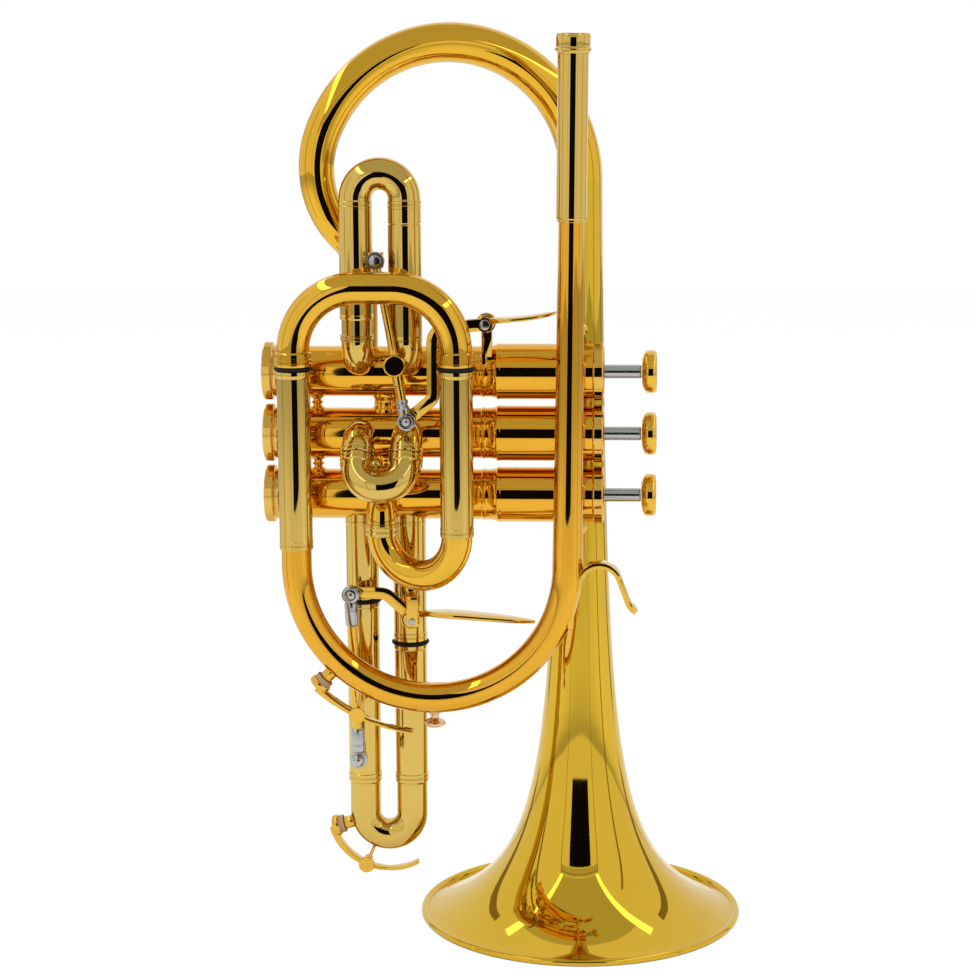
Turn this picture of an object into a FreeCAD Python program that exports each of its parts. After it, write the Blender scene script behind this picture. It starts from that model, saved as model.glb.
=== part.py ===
"""A cornet in B flat with a shepherd's crook and two slide triggers, standing on its bell.

The origin is the middle of the bell rim, where it rests.  +Z runs up the bell's axis, +X points to
the finger buttons and -Y to the side where the leadpipe and the tuning slide lie.  Millimetres.
"""
import math
import os
import re

import FreeCAD
import Part
import Sketcher
from FreeCAD import Rotation, Vector

SIZES = {
    # Bell: outer radius at the rim, radius that the long tail tends to, and how fast it opens.
    "bell_radius": 67.0, "bell_throat": 7.7, "flare_height": 31.6, "flare_power": 1.454,
    "bell_wall": 0.7, "rim_bead_radius": 1.5, "rim_bead_height": 1.2,
    # Crook: the big arc, the tighter one before the valve, and the bend that straightens it.
    "crook_top": 362.0, "crook_radius": 55.0, "crook_turn": 160.0, "crook_tight_radius": 38.0,
    "crook_tight_turn": 65.0, "crook_back_radius": 20.0, "crook_valve_radius": 6.35, "crook_wall": 0.6,
    # Valves: their row, their casings and what screws into them.
    "valve_1_height": 232.5, "valve_pitch": 24.75, "valve_depth": 27.0, "valve_bottom": -119.5,
    "casing_length": 125.3, "casing_lower_length": 83.3, "casing_band_length": 4.4,
    "casing_radius": 10.0, "casing_band_radius": 11.7, "casing_upper_radius": 11.0,
    "valve_bore_radius": 8.4, "thread_gap": 0.05,
    "cap_radius": 11.4, "cap_shoulder_radius": 10.4, "cap_spigot": 4.0, "cap_chamfer": 0.8,
    "bottom_cap_shoulder": 3.0, "bottom_cap_knurl": 3.7, "bottom_cap_floor": 1.5, "bottom_cap_seat": 7.0,
    "top_cap_height": 4.2, "felt_radius": 7.4, "felt_height": 1.5, "felt_gap": 0.3,
    "piston_gap": 0.05, "piston_length": 100.0, "piston_port_radius": 5.4, "piston_port_pitch": 19.2,
    "piston_first_port": 13.0, "piston_recess_radius": 6.6, "piston_recess_depth": 5.0,
    "stem_radius": 2.8, "stem_gap": 0.2, "stem_length": 24.8, "stem_thread_radius": 1.9,
    "stem_thread": 5.0, "button_radius": 8.5, "button_height": 5.9, "button_neck": 5.2,
    "button_edge": 1.2, "button_thread": 3.2,
    "spring_radius": 5.7, "spring_wire": 0.45, "spring_turns": 7.0,
    # Tubing: the sleeves that show, the tubes that slide in them, and the running gap.
    "sleeve_radius": 6.5, "inner_radius": 5.95, "slide_gap": 0.08, "tube_wall": 0.5,
    "bow_radius": 6.3, "ring_section": 0.8,
    # Leadpipe side.
    "lead_depth": 58.0, "leadpipe_foot": -3.8, "leadpipe_lean": 0.62, "leadpipe_top": 293.3,
    "leadpipe_top_radius": 4.9, "lead_bow_height": 159.9, "lead_bow_tube": 5.9,
    "receiver_length": 70.4, "receiver_radius": 5.85, "receiver_collar_radius": 6.55,
    "receiver_collar": 6.4, "receiver_bore_radius": 4.85, "receiver_bore_depth": 22.0,
    "receiver_ring_radius": 6.9, "receiver_ring": 1.0,
    # Tuning slide.
    "tuning_left": -109.6, "tuning_right": -46.65, "tuning_corner": 24.3, "tuning_bow_height": 243.9,
    "tuning_sleeve_top": 236.5, "tuning_left_bottom": 166.5,
    "tuning_right_bottom": "=valve_1_height - 2 * valve_pitch - inlet_elbow_radius - inlet_leg",
    "tuning_ferrule": 6.9, "tuning_ferrule_length": 5.6, "tuning_leg_bottom": 184.0,
    # Bow from the tuning slide into the third valve.
    "inlet_tube": 6.1, "inlet_across": -77.6, "inlet_elbow_radius": 8.0, "inlet_leg": 3.3,
    "inlet_ferrule": 6.5,
    "inlet_ferrule_length": 5.0,
    # First slide.
    "slide_left": -86.4, "slide_pitch": 19.1, "first_bow_height": 301.6, "first_elbow_height": 238.0,
    "first_elbow_radius": 8.5, "first_sleeve_bottom": 254.9, "first_sleeve_top": 291.8,
    "first_ferrule_bottom": 247.0, "first_ferrule_length": 2.4, "first_tube_top": 293.0,
    "first_inner_bottom": 251.0,
    # Second slide.
    "second_tilt": 38.0, "second_elbow_radius": 9.0, "second_leg": 4.0, "second_bow_leg": 3.6,
    "second_insert": 3.0, "second_reach": 1.5, "knob_radius": 3.1, "knob_length": 5.0,
    "knob_stem_radius": 1.3,
    # Third slide.
    "third_left": -87.3, "third_bow_height": 50.6, "third_left_stop": 138.9, "third_right_stop": 121.6,
    "third_tube_bottom": 66.0, "third_sleeve_radius": 6.6,
    # First slide's trigger.
    "first_pivot_x": -36.1, "first_pivot_z": 253.1, "trigger_pin_radius": 1.2, "hub_radius": 3.0,
    "hub_gap": 0.1, "lever_thickness": 1.4, "lever_width": 4.0, "joint_pin_radius": 1.0,
    "joint_hole_radius": 2.0, "joint_radius": 3.5, "first_joint_x": -66.3, "first_joint_z": 216.2,
    "first_arm_x": -56.6, "link_radius": 1.6, "link_top_x": -78.1, "link_top_z": 278.0,
    "link_top_depth": 49.4, "link_bend_depth": 49.3, "link_bend_x": -73.2, "link_bend_z": 251.5,
    "link_knob_radius": 4.2, "link_knob_height": 6.0, "eye_length": 3.2,
    "trigger_spring": 3.6, "trigger_spring_radius": 3.5, "trigger_spring_wire": 0.35,
    "spring_room": 0.6, "first_blade_thickness": 1.6, "blade_width": 12.0,
    # Third slide's trigger.
    "third_pivot_x": -66.5, "third_pivot_z": 134.9, "third_joint_x": -90.5, "third_joint_z": 144.9,
    "rod_foot_x": -88.2, "rod_foot_z": 77.1, "rod_radius": 2.0, "third_lever_depth": 38.6,
    "third_blade_tip": -16.5, "third_blade_thickness": 1.8,
    # Water keys, hook and lyre holder.
    "key_width": 5.0, "key_thickness": 1.3, "nipple_radius": 2.6, "nipple_length": 3.2,
    "cork_radius": 3.6, "cork_height": 2.0, "cork_gap": 0.05, "cup_radius": 4.3, "cup_height": 2.4,
    "key_pin_radius": 0.9, "key_hub_radius": 2.0,
    "hook_radius": 10.2, "hook_width": 8.0, "hook_thickness": 2.3, "hook_foot": 138.0,
    "hook_spring": 150.7, "hook_drop": 9.5,
    "lyre_width": 8.0, "lyre_depth": 8.5, "lyre_height": 12.0, "lyre_bore_radius": 2.6,
    "lyre_screw_radius": 1.6, "lyre_head_radius": 4.0, "lyre_head_height": 3.2,
    "screw_gap": 0.1, "screw_stand": 1.6,
    "brace_radius": 1.5, "brace_foot_radius": 3.2, "brace_foot": 1.2, "brace_gap": 0.12, "web_radius": 2.2,
    "knuckle_radius": 5.6,
}

doc = FreeCAD.newDocument("cornet")
sheet = doc.addObject("Spreadsheet::Sheet", "sizes")
for row, (alias, amount) in enumerate(SIZES.items(), start=1):
    sheet.set(f"A{row}", alias)
    sheet.set(f"B{row}", str(amount))
    sheet.setAlias(f"B{row}", alias)
doc.recompute()


class Values:
    """The sheet's cells as plain numbers, for places and for shapes made by formula."""

    def __getattr__(self, alias):
        return float(getattr(sheet, alias))


v = Values()
nodes = []
ORIGIN = Vector(0, 0, 0)
RIGHT, LEFT = Vector(1, 0, 0), Vector(-1, 0, 0)
BACK, FRONT = Vector(0, 1, 0), Vector(0, -1, 0)
UP, DOWN = Vector(0, 0, 1), Vector(0, 0, -1)


def bound(formula):
    """A formula in the sheet's aliases, written the way an expression names them."""
    return re.sub(r"[a-z][a-z_0-9]*[a-z0-9]", lambda word: f"sizes.{word.group()}"
                  if word.group() in SIZES else word.group(), str(formula))


def number(formula):
    return float(sheet.evalExpression(bound(formula)))


def bind(item, **formulas):
    for name, formula in formulas.items():
        item.setExpression(name, bound(formula))


def facing(direction, start=None):
    """The turn that takes local +Z to a direction and, if given, local +X to a start."""
    if start is None:
        return Rotation(UP, direction)
    return Rotation(start, direction.cross(start), direction, "ZXY")


def node(name, *items):
    """One file: a single piece, or like pieces that share a name."""
    if len(items) == 1:
        piece = items[0]
    else:
        piece = doc.addObject("Part::Compound", "group")
        piece.Links = list(items)
    piece.Label = name
    nodes.append(piece)
    return piece


def cylinder(at, direction, length, radius, end_radius=None):
    if end_radius is None:
        item = doc.addObject("Part::Cylinder", "run")
        bind(item, Radius=radius, Height=length)
    else:
        item = doc.addObject("Part::Cone", "taper")
        bind(item, Radius1=radius, Radius2=end_radius, Height=length)
    item.Placement = FreeCAD.Placement(at, facing(direction))
    return item


def ring(centre, start, heading, bend, tube, angle="360"):
    """Part of a torus: from the section at `start`, setting out along `heading`."""
    item = doc.addObject("Part::Torus", "bend")
    bind(item, Radius1=bend, Radius2=tube, Angle3=angle)
    item.Placement = FreeCAD.Placement(centre, Rotation(start, heading, start.cross(heading), "XYZ"))
    return item


def block(corner, width, depth, height):
    item = doc.addObject("Part::Box", "block")
    bind(item, Length=width, Width=depth, Height=height)
    item.Placement.Base = corner
    return item


def ball(at, radius):
    item = doc.addObject("Part::Sphere", "ball")
    bind(item, Radius=radius)
    item.Placement.Base = at
    return item


def fused(items):
    if len(items) == 1:
        return items[0]
    whole = doc.addObject("Part::MultiFuse", "whole")
    whole.Shapes = items
    whole.Refine = True
    return whole


def cut(base, tools):
    rest = doc.addObject("Part::Cut", "rest")
    rest.Base = base
    rest.Tool = fused(tools)
    rest.Refine = True
    return rest


def tubework(stretches, tools=()):
    """Hollow tubing: each stretch is a maker, its place, then its outer radius and its bore or None."""
    outside, inside = [], []
    for maker, *place, outer, inner in stretches:
        outside.append(maker(*place, outer))
        if inner:
            inside.append(maker(*place, inner))
    return cut(fused(outside), inside + list(tools))


def run(at, direction, length, radius):
    return cylinder(at, direction, length, radius)


def bend(centre, start, heading, radius, angle, tube):
    return ring(centre, start, heading, radius, tube, angle)


def turned(name, outline, at, direction):
    """A body turned from a sketch: corners as (radius, height) formulas, round its own Z axis."""
    body = doc.addObject("PartDesign::Body", name)
    plane = next(o for o in body.Origin.OriginFeatures if o.Role == "XZ_Plane")
    sketch = body.newObject("Sketcher::SketchObject", "profile")
    sketch.AttachmentSupport = (plane, [""])
    sketch.MapMode = "FlatFace"
    corners = [Vector(number(radius), number(height), 0) for radius, height in outline]
    for index, corner in enumerate(corners):
        following = corners[(index + 1) % len(corners)]
        sketch.addGeometry(Part.LineSegment(corner, following), False)
    for index, (radius, height) in enumerate(outline):
        last = (index - 1) % len(outline)
        sketch.addConstraint(Sketcher.Constraint("Coincident", last, 2, index, 1))
        for axis, kind, formula in ((-2, "DistanceX", radius), (-1, "DistanceY", height)):
            if formula == "0":
                sketch.addConstraint(Sketcher.Constraint("PointOnObject", index, 1, axis))
                continue
            where = sketch.addConstraint(Sketcher.Constraint(kind, -1, 1, index, 1, number(formula)))
            sketch.setExpression(f"Constraints[{where}]", bound(formula))
    revolution = body.newObject("PartDesign::Revolution", "turn")
    revolution.Profile = sketch
    revolution.ReferenceAxis = (sketch, ["V_Axis"])
    revolution.Angle = 360.0
    body.Placement = FreeCAD.Placement(at, facing(direction))
    return body


def shaped(name, shape):
    """A piece whose shape is a formula's, set as it stands."""
    item = doc.addObject("Part::Feature", name)
    item.Shape = shape
    return item


# --- Bell and crook -------------------------------------------------------------------------------

def flare(height):
    """Outer radius of the bell at a height above its rim."""
    narrowing = (v.flare_height / (height + v.flare_height)) ** v.flare_power
    return v.bell_throat + (v.bell_radius - v.bell_throat) * narrowing


def flare_point(height, depth):
    """A point on the bell's meridian, `depth` inside the outer surface along its normal."""
    step = 0.01
    slope = (flare(height + step) - flare(height - step)) / (2 * step)
    length = math.hypot(1, slope)
    return Vector(flare(height) - depth / length, 0, height + depth * slope / length)


tail_height = v.crook_top - v.crook_radius
tail_radius = flare(tail_height)
edge_height = v.rim_bead_height
while flare(edge_height) > v.bell_radius - 2 * v.rim_bead_radius:
    edge_height += 0.02
stations = 13
growth = ((tail_height + v.flare_height) / (edge_height + v.flare_height)) ** (1 / (stations - 1))
heights = [(edge_height + v.flare_height) * growth ** k - v.flare_height for k in range(stations)]


def meridian(depth):
    curve = Part.BSplineCurve()
    curve.interpolate([flare_point(height, depth) for height in heights])
    return curve


outer_line, inner_line = meridian(0).toShape(), meridian(v.bell_wall).toShape()
ends = [Part.makeLine(a.Point, b.Point)
        for a, b in zip(outer_line.Vertexes, inner_line.Vertexes)]
wall = Part.Face(Part.Wire(Part.__sortEdges__([outer_line, ends[1], inner_line, ends[0]])))
bell = node("bell", shaped("bell", wall.revolve(ORIGIN, UP, 360)))

bead = ring(Vector(0, 0, v.rim_bead_height), RIGHT, BACK, "bell_radius - rim_bead_radius",
            "rim_bead_radius")
below = cylinder(Vector(0, 0, -5), UP, "5", "bell_radius + 5")
node("bell_rim", cut(bead, [below]))

# The crook lies in a plane turned about the bell's axis until its foot meets the first valve.
# Each arc: radius, turn in degrees, and the side it turns to (1 towards the valves, -1 away).
CROOK_ARCS = ((v.crook_radius, v.crook_turn, 1), (v.crook_tight_radius, v.crook_tight_turn, 1),
              (v.crook_back_radius, v.crook_turn + v.crook_tight_turn - 180, -1))


def crook_places():
    """Places across and up in the crook's plane: the ends and middles of its arcs, then its foot."""
    across, up, heading = 0.0, tail_height, 90.0
    places = [(across, up)]
    for radius, turn, side in CROOK_ARCS:
        centre_across = across + side * radius * math.sin(math.radians(heading))
        centre_up = up - side * radius * math.cos(math.radians(heading))
        for share in (0.5, 1.0):
            angle = math.radians(heading - side * turn * share)
            across = centre_across - side * radius * math.sin(angle)
            up = centre_up + side * radius * math.cos(angle)
            places.append((across, up))
        heading -= side * turn
    places.append((across, v.valve_1_height))
    return places


crook_flat = crook_places()
crook_yaw = math.asin(v.valve_depth / crook_flat[-1][0])
crook_out = Vector(-math.cos(crook_yaw), -math.sin(crook_yaw), 0)
crook_points = [crook_out * across + UP * up for across, up in crook_flat]
crook_line = Part.Wire([Part.Arc(*crook_points[k:k + 3]).toShape() for k in (0, 2, 4)]
                       + [Part.makeLine(*crook_points[-2:])])


def crook_skin(inset):
    """A solid along the crook that narrows evenly from the bell's tail to the valve."""
    sweep = Part.BRepOffsetAPI.MakePipeShell(crook_line)
    for place, direction, radius in ((crook_points[0], UP, tail_radius),
                                     (crook_points[-1], DOWN, v.crook_valve_radius)):
        sweep.add(Part.Wire([Part.Circle(place, direction, radius - inset).toShape()]))
    sweep.build()
    sweep.makeSolid()
    return sweep.shape()


def valve_height(number_):
    return v.valve_1_height - (number_ - 1) * v.valve_pitch


def valve_axis(number_, x=0.0):
    return Vector(x, -v.valve_depth, valve_height(number_))


def casing_tool(number_):
    """The space of one casing's lower barrel, to seat tubing on it."""
    return cylinder(valve_axis(number_, v.valve_bottom), RIGHT, "casing_length", "casing_radius")


def barrel_tools(number_):
    """The same for a piece that stands where the barrel changes size."""
    band_from = v.valve_bottom + v.casing_lower_length
    return [casing_tool(number_),
            cylinder(valve_axis(number_, band_from), RIGHT, "casing_band_length", "casing_band_radius"),
            cylinder(valve_axis(number_, band_from), RIGHT, "casing_length - casing_lower_length",
                     "casing_upper_radius")]


casing_space = Part.makeCylinder(v.casing_radius, v.casing_length, valve_axis(1, v.valve_bottom), RIGHT)
node("bell_crook", shaped("bell_crook", crook_skin(0).cut(crook_skin(v.crook_wall)).cut(casing_space)))

# --- Valves ---------------------------------------------------------------------------------------

casing_top = v.valve_bottom + v.casing_length
piston_top = casing_top - v.cap_spigot - v.felt_height - v.felt_gap
piston_bottom = piston_top - v.piston_length
band_end = "casing_lower_length + casing_band_length"
for valve in (1, 2, 3):
    node(f"valve_casing_{valve}", turned(f"valve_casing_{valve}", [
        ("valve_bore_radius", "0"), ("casing_radius", "0"), ("casing_radius", "casing_lower_length"),
        ("casing_band_radius", "casing_lower_length"), ("casing_band_radius", band_end),
        ("casing_upper_radius", band_end), ("casing_upper_radius", "casing_length"),
        ("valve_bore_radius", "casing_length")], valve_axis(valve, v.valve_bottom), RIGHT))

spigot_radius = "valve_bore_radius - thread_gap"
stem_hole = "stem_radius + stem_gap"
shoulder_end = "cap_spigot + bottom_cap_shoulder"
bottom_cap_end = "cap_spigot + bottom_cap_shoulder + bottom_cap_knurl"
top_cap_end = "cap_spigot + top_cap_height"
bottom_caps, top_caps, felts = [], [], []
for valve in (1, 2, 3):
    bottom_caps.append(turned("bottom_cap", [
        ("bottom_cap_seat", "0"), (spigot_radius, "0"), (spigot_radius, "cap_spigot"),
        ("cap_shoulder_radius", "cap_spigot"), ("cap_shoulder_radius", shoulder_end),
        ("cap_radius", shoulder_end), ("cap_radius", bottom_cap_end), ("0", bottom_cap_end),
        ("0", bottom_cap_end + " - bottom_cap_floor"),
        ("bottom_cap_seat", bottom_cap_end + " - bottom_cap_floor")],
        valve_axis(valve, v.valve_bottom + v.cap_spigot), LEFT))
    top_caps.append(turned("top_cap", [
        (stem_hole, "0"), (spigot_radius, "0"), (spigot_radius, "cap_spigot"),
        ("cap_radius", "cap_spigot"), ("cap_radius", top_cap_end + " - cap_chamfer"),
        ("cap_radius - cap_chamfer", top_cap_end), (stem_hole, top_cap_end)],
        valve_axis(valve, casing_top - v.cap_spigot), RIGHT))
    felts.append(turned("cap_felt", [
        (stem_hole, "0"), ("felt_radius", "0"), ("felt_radius", "felt_height"),
        (stem_hole, "felt_height")],
        valve_axis(valve, casing_top - v.cap_spigot - v.felt_height), RIGHT))
node("bottom_caps", *bottom_caps)
node("top_caps", *top_caps)
node("cap_felts", *felts)

piston_radius = "valve_bore_radius - piston_gap"
thread_radius = "stem_thread_radius"
thread_gap_radius = "stem_thread_radius - thread_gap"
for valve in (1, 2, 3):
    barrel = turned(f"piston_barrel_{valve}", [
        ("piston_recess_radius", "0"), (piston_radius, "0"), (piston_radius, "piston_length"),
        (thread_radius, "piston_length"), (thread_radius, "piston_length - stem_thread"),
        ("0", "piston_length - stem_thread"), ("0", "piston_recess_depth"),
        ("piston_recess_radius", "piston_recess_depth")], valve_axis(valve, piston_bottom), RIGHT)
    ports = []
    for port in range(3):
        tilt = math.radians(60 * port)
        across = Vector(0, math.cos(tilt), math.sin(tilt))
        middle = valve_axis(valve, piston_bottom + v.piston_first_port + port * v.piston_port_pitch)
        ports.append(cylinder(middle - across * 10, across, "20", "piston_port_radius"))
    node(f"piston_{valve}", cut(barrel, ports))

for valve in (1, 2, 3):
    stem_top = "stem_thread + stem_length"
    node(f"valve_stem_{valve}", turned(f"valve_stem_{valve}", [
        ("0", "0"), (thread_gap_radius, "0"), (thread_gap_radius, "stem_thread"),
        ("stem_radius", "stem_thread"), ("stem_radius", stem_top), (thread_gap_radius, stem_top),
        (thread_gap_radius, stem_top + " + button_thread - thread_gap"),
        ("0", stem_top + " + button_thread - thread_gap")],
        valve_axis(valve, piston_top - v.stem_thread), RIGHT))
for valve in (1, 2, 3):
    node(f"finger_button_{valve}", turned(f"finger_button_{valve}", [
        (thread_radius, "0"), ("button_neck", "0"), ("button_radius", "button_edge"),
        ("button_radius", "button_height - button_edge"), ("button_radius - button_edge", "button_height"),
        ("0", "button_height"), ("0", "button_thread"), (thread_radius, "button_thread")],
        valve_axis(valve, piston_top + v.stem_length), RIGHT))


def coil(at, direction, length, radius, wire, turns):
    """A round-wire spring, standing on `at`."""
    pitch = length / turns
    helix = Part.makeHelix(pitch, length, radius)
    turned_places = [math.radians(36 * k) for k in range(11)]
    section = Part.makePolygon([Vector(radius + wire * math.cos(turn), 0, wire * math.sin(turn))
                                for turn in turned_places])
    spring = Part.Wire(helix.Edges).makePipeShell([section], True, True)
    spring.Placement = FreeCAD.Placement(at, facing(direction))
    return shaped("coil", spring)


seat = v.valve_bottom - v.bottom_cap_shoulder - v.bottom_cap_knurl + v.bottom_cap_floor
spring_length = piston_bottom + v.piston_recess_depth - seat - 2 * v.spring_wire
node("valve_springs", *[coil(valve_axis(valve, seat + v.spring_wire), RIGHT, spring_length,
                             v.spring_radius, v.spring_wire, v.spring_turns) for valve in (1, 2, 3)])

gap_middle_x = v.slide_left + v.slide_pitch / 2
knuckles, webs = [], []
for upper in (1, 2):
    seats = [casing_tool(upper), casing_tool(upper + 1)]
    knuckles.append(cut(cylinder(valve_axis(upper, gap_middle_x), DOWN, "valve_pitch", "knuckle_radius"),
                        seats))
    seats = [casing_tool(upper), casing_tool(upper + 1)]
    webs.append(cut(cylinder(valve_axis(upper, v.valve_bottom + 15), DOWN, "valve_pitch", "web_radius"),
                    seats))
node("valve_knuckles", *knuckles)
node("casing_webs", *webs)

# --- Receiver, leadpipe and the bow to the tuning slide -------------------------------------------

lean = math.radians(v.leadpipe_lean)
along_pipe = Vector(math.sin(lean), 0, math.cos(lean))
pipe_foot = Vector(v.leadpipe_foot, -v.lead_depth, v.lead_bow_height)
pipe_length = (v.leadpipe_top - v.lead_bow_height) / math.cos(lean)
pipe_top = pipe_foot + along_pipe * pipe_length
pipe_formula = "(leadpipe_top - lead_bow_height) / cos(leadpipe_lean * 1 deg)"
node("leadpipe", cut(
    cylinder(pipe_foot, along_pipe, pipe_formula, "lead_bow_tube", "leadpipe_top_radius"),
    [cylinder(pipe_foot, along_pipe, pipe_formula, "lead_bow_tube - tube_wall",
              "leadpipe_top_radius - tube_wall")]))
node("mouthpiece_receiver", turned("mouthpiece_receiver", [
    ("leadpipe_top_radius - tube_wall", "0"), ("leadpipe_top_radius + tube_wall", "0"),
    ("receiver_radius", "tube_wall * 3"), ("receiver_radius", "receiver_length - receiver_collar"),
    ("receiver_ring_radius", "receiver_length - receiver_collar"),
    ("receiver_ring_radius", "receiver_length - receiver_collar + receiver_ring"),
    ("receiver_collar_radius", "receiver_length - receiver_collar + receiver_ring"),
    ("receiver_collar_radius", "receiver_length"), ("receiver_bore_radius", "receiver_length"),
    ("receiver_bore_radius", "receiver_length - receiver_bore_depth"),
    ("leadpipe_top_radius - tube_wall", "receiver_length - receiver_bore_depth")],
    pipe_top, along_pipe))

lead_bend = "(leadpipe_foot - tuning_left) / 2"
lead_middle = Vector((v.leadpipe_foot + v.tuning_left) / 2, -v.lead_depth, v.lead_bow_height)
left_leg = Vector(v.tuning_left, -v.lead_depth, 0)
right_leg = Vector(v.tuning_right, -v.lead_depth, 0)
node("lead_bow", tubework([
    (bend, lead_middle, RIGHT, DOWN, lead_bend, "180", "lead_bow_tube", "lead_bow_tube - tube_wall"),
    (run, left_leg + UP * v.lead_bow_height, UP, "tuning_left_bottom - lead_bow_height",
     "lead_bow_tube", "lead_bow_tube - tube_wall")]))

bore = "inner_radius + slide_gap"
for side, leg, foot in (("left", left_leg, "tuning_left_bottom"),
                        ("right", right_leg, "tuning_right_bottom")):
    node(f"tuning_sleeve_{side}", tubework([
        (run, leg + UP * number(foot), UP, f"tuning_sleeve_top - {foot}", "sleeve_radius", bore)]))

inlet_depth = v.valve_depth + v.casing_radius + v.inlet_tube
inlet_from = Vector(v.tuning_right, -v.lead_depth, v.tuning_right_bottom)
inlet_to = Vector(v.inlet_across, -inlet_depth, v.tuning_right_bottom)
inlet_span = inlet_to - inlet_from
inlet_side = Vector(inlet_span).normalize()
inlet_bend = ("sqrt((tuning_right - inlet_across)^2 + "
              "(lead_depth - valve_depth - casing_radius - inlet_tube)^2) / 2")
inlet_rise = valve_height(3) - v.inlet_elbow_radius - v.tuning_right_bottom
inlet_bore = "inlet_tube - tube_wall"
node("inlet_bow", tubework([
    (bend, (inlet_from + inlet_to) * 0.5, inlet_side * -1, DOWN, inlet_bend, "180",
     "inlet_tube", inlet_bore),
    (run, inlet_to, UP, "valve_1_height - 2 * valve_pitch - inlet_elbow_radius - tuning_right_bottom",
     "inlet_tube", inlet_bore),
    (run, inlet_to - UP * (v.inlet_ferrule_length / 2), UP, "inlet_ferrule_length",
     "inlet_ferrule", None),
    (bend, inlet_to + UP * inlet_rise + BACK * v.inlet_elbow_radius, FRONT, UP, "inlet_elbow_radius",
     "90", "inlet_tube", inlet_bore),
    (run, inlet_to + UP * (inlet_rise + v.inlet_elbow_radius) + BACK * v.inlet_elbow_radius, BACK,
     "casing_radius", "inlet_tube", inlet_bore)], [casing_tool(3)]))

# --- Tuning slide ---------------------------------------------------------------------------------

tuning_bore = "bow_radius - tube_wall"
corner = v.tuning_corner
bow_end = UP * v.tuning_bow_height
ferrule_bottom = v.tuning_sleeve_top + 2 * v.ring_section
stretches = []
for leg, side in ((left_leg, RIGHT), (right_leg, LEFT)):
    stretches += [
        (bend, leg + side * corner + bow_end, side * -1, UP, "tuning_corner", "90",
         "bow_radius", tuning_bore),
        (run, leg + UP * ferrule_bottom, UP, "tuning_ferrule_length", "tuning_ferrule", tuning_bore),
        (run, leg + UP * v.tuning_leg_bottom, UP, "tuning_bow_height - tuning_leg_bottom",
         "inner_radius", "inner_radius - tube_wall")]
stretches.append((run, left_leg + RIGHT * corner + bow_end + UP * corner, RIGHT,
                  "tuning_right - tuning_left - 2 * tuning_corner", "bow_radius", tuning_bore))
node("tuning_slide", tubework(stretches))


def bumper(leg, height):
    """A rubber ring round an inner tube, its underside at a height."""
    return ring(leg + UP * (height + v.ring_section), RIGHT, BACK, "inner_radius + ring_section",
                "ring_section")


node("tuning_bumpers", *[bumper(leg, v.tuning_sleeve_top) for leg in (left_leg, right_leg)])

# --- First slide ----------------------------------------------------------------------------------

first_depth = v.valve_depth + v.casing_radius + v.sleeve_radius
first_left = Vector(v.slide_left, -first_depth, 0)
first_right = first_left + RIGHT * v.slide_pitch
elbow_start = v.first_elbow_height + v.first_elbow_radius


def first_elbow(leg, tube, inner):
    """The turn from a leg into the first valve, and the stub that the casing trims."""
    turn_centre = leg + UP * elbow_start + BACK * v.first_elbow_radius
    into = turn_centre + DOWN * v.first_elbow_radius
    return [(bend, turn_centre, FRONT, DOWN, "first_elbow_radius", "90", tube, inner),
            (run, into, BACK, "casing_radius", tube, inner)]


inner_bore = "inner_radius - tube_wall"
node("first_fixed_tube", tubework(
    first_elbow(first_left, "inlet_tube", inner_bore) + [
        (run, first_left + UP * elbow_start, UP, "first_tube_top - first_elbow_height - first_elbow_radius",
         "inner_radius", inner_bore),
        (run, first_left + UP * elbow_start, UP, "first_ferrule_length", "sleeve_radius", inner_bore)],
    [casing_tool(1), cylinder(crook_points[-1], UP, "crook_back_radius", "crook_valve_radius")]))
sleeve_length = "first_sleeve_top - first_elbow_height - first_elbow_radius"
node("first_fixed_sleeve", tubework(
    first_elbow(first_right, "sleeve_radius", bore) + [
        (run, first_right + UP * elbow_start, UP, sleeve_length, "sleeve_radius", bore)],
    [casing_tool(1)]))
bow_bore = "bow_radius - tube_wall"
first_middle = (first_left + first_right) * 0.5 + UP * v.first_bow_height
node("first_slide", tubework([
    (bend, first_middle, LEFT, UP, "slide_pitch / 2", "180", "bow_radius", bow_bore),
    (run, first_left + UP * v.first_sleeve_bottom, UP, "first_bow_height - first_sleeve_bottom",
     "sleeve_radius", bore),
    (run, first_right + UP * v.first_inner_bottom, UP, "first_bow_height - first_inner_bottom",
     "inner_radius", inner_bore),
    (run, first_right + UP * (v.first_sleeve_top + 0.3), UP,
     "first_bow_height - first_sleeve_top - 0.3", "sleeve_radius", inner_bore)]))

# --- Second slide: it hangs forward of its valve, tilted from the vertical --------------------------

tilt = math.radians(v.second_tilt)
second_down = Vector(0, -math.sin(tilt), -math.cos(tilt))
second_out = Vector(0, -math.cos(tilt), math.sin(tilt))
turn_centre = valve_axis(2) + FRONT * (v.casing_radius + v.second_reach) + DOWN * v.second_elbow_radius
second_start = turn_centre + second_out * v.second_elbow_radius
second_lefts = [Vector(v.slide_left, 0, 0), Vector(v.slide_left + v.slide_pitch, 0, 0)]
sleeves = []
for leg in second_lefts:
    sleeves.append(tubework([
        (bend, turn_centre + leg, UP, FRONT, "second_elbow_radius", "90 - second_tilt",
         "sleeve_radius", bore),
        (run, turn_centre + leg + UP * v.second_elbow_radius, BACK, "casing_radius + second_reach",
         "sleeve_radius", bore),
        (run, second_start + leg, second_down, "second_leg", "sleeve_radius", bore)],
        [casing_tool(2)]))
node("second_fixed_sleeves", *sleeves)
second_face = second_start + second_down * (v.second_leg + 0.3)
second_middle = second_face + second_down * v.second_bow_leg + RIGHT * gap_middle_x
stretches = [(bend, second_middle, LEFT, second_down, "slide_pitch / 2", "180", "bow_radius", bow_bore)]
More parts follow.
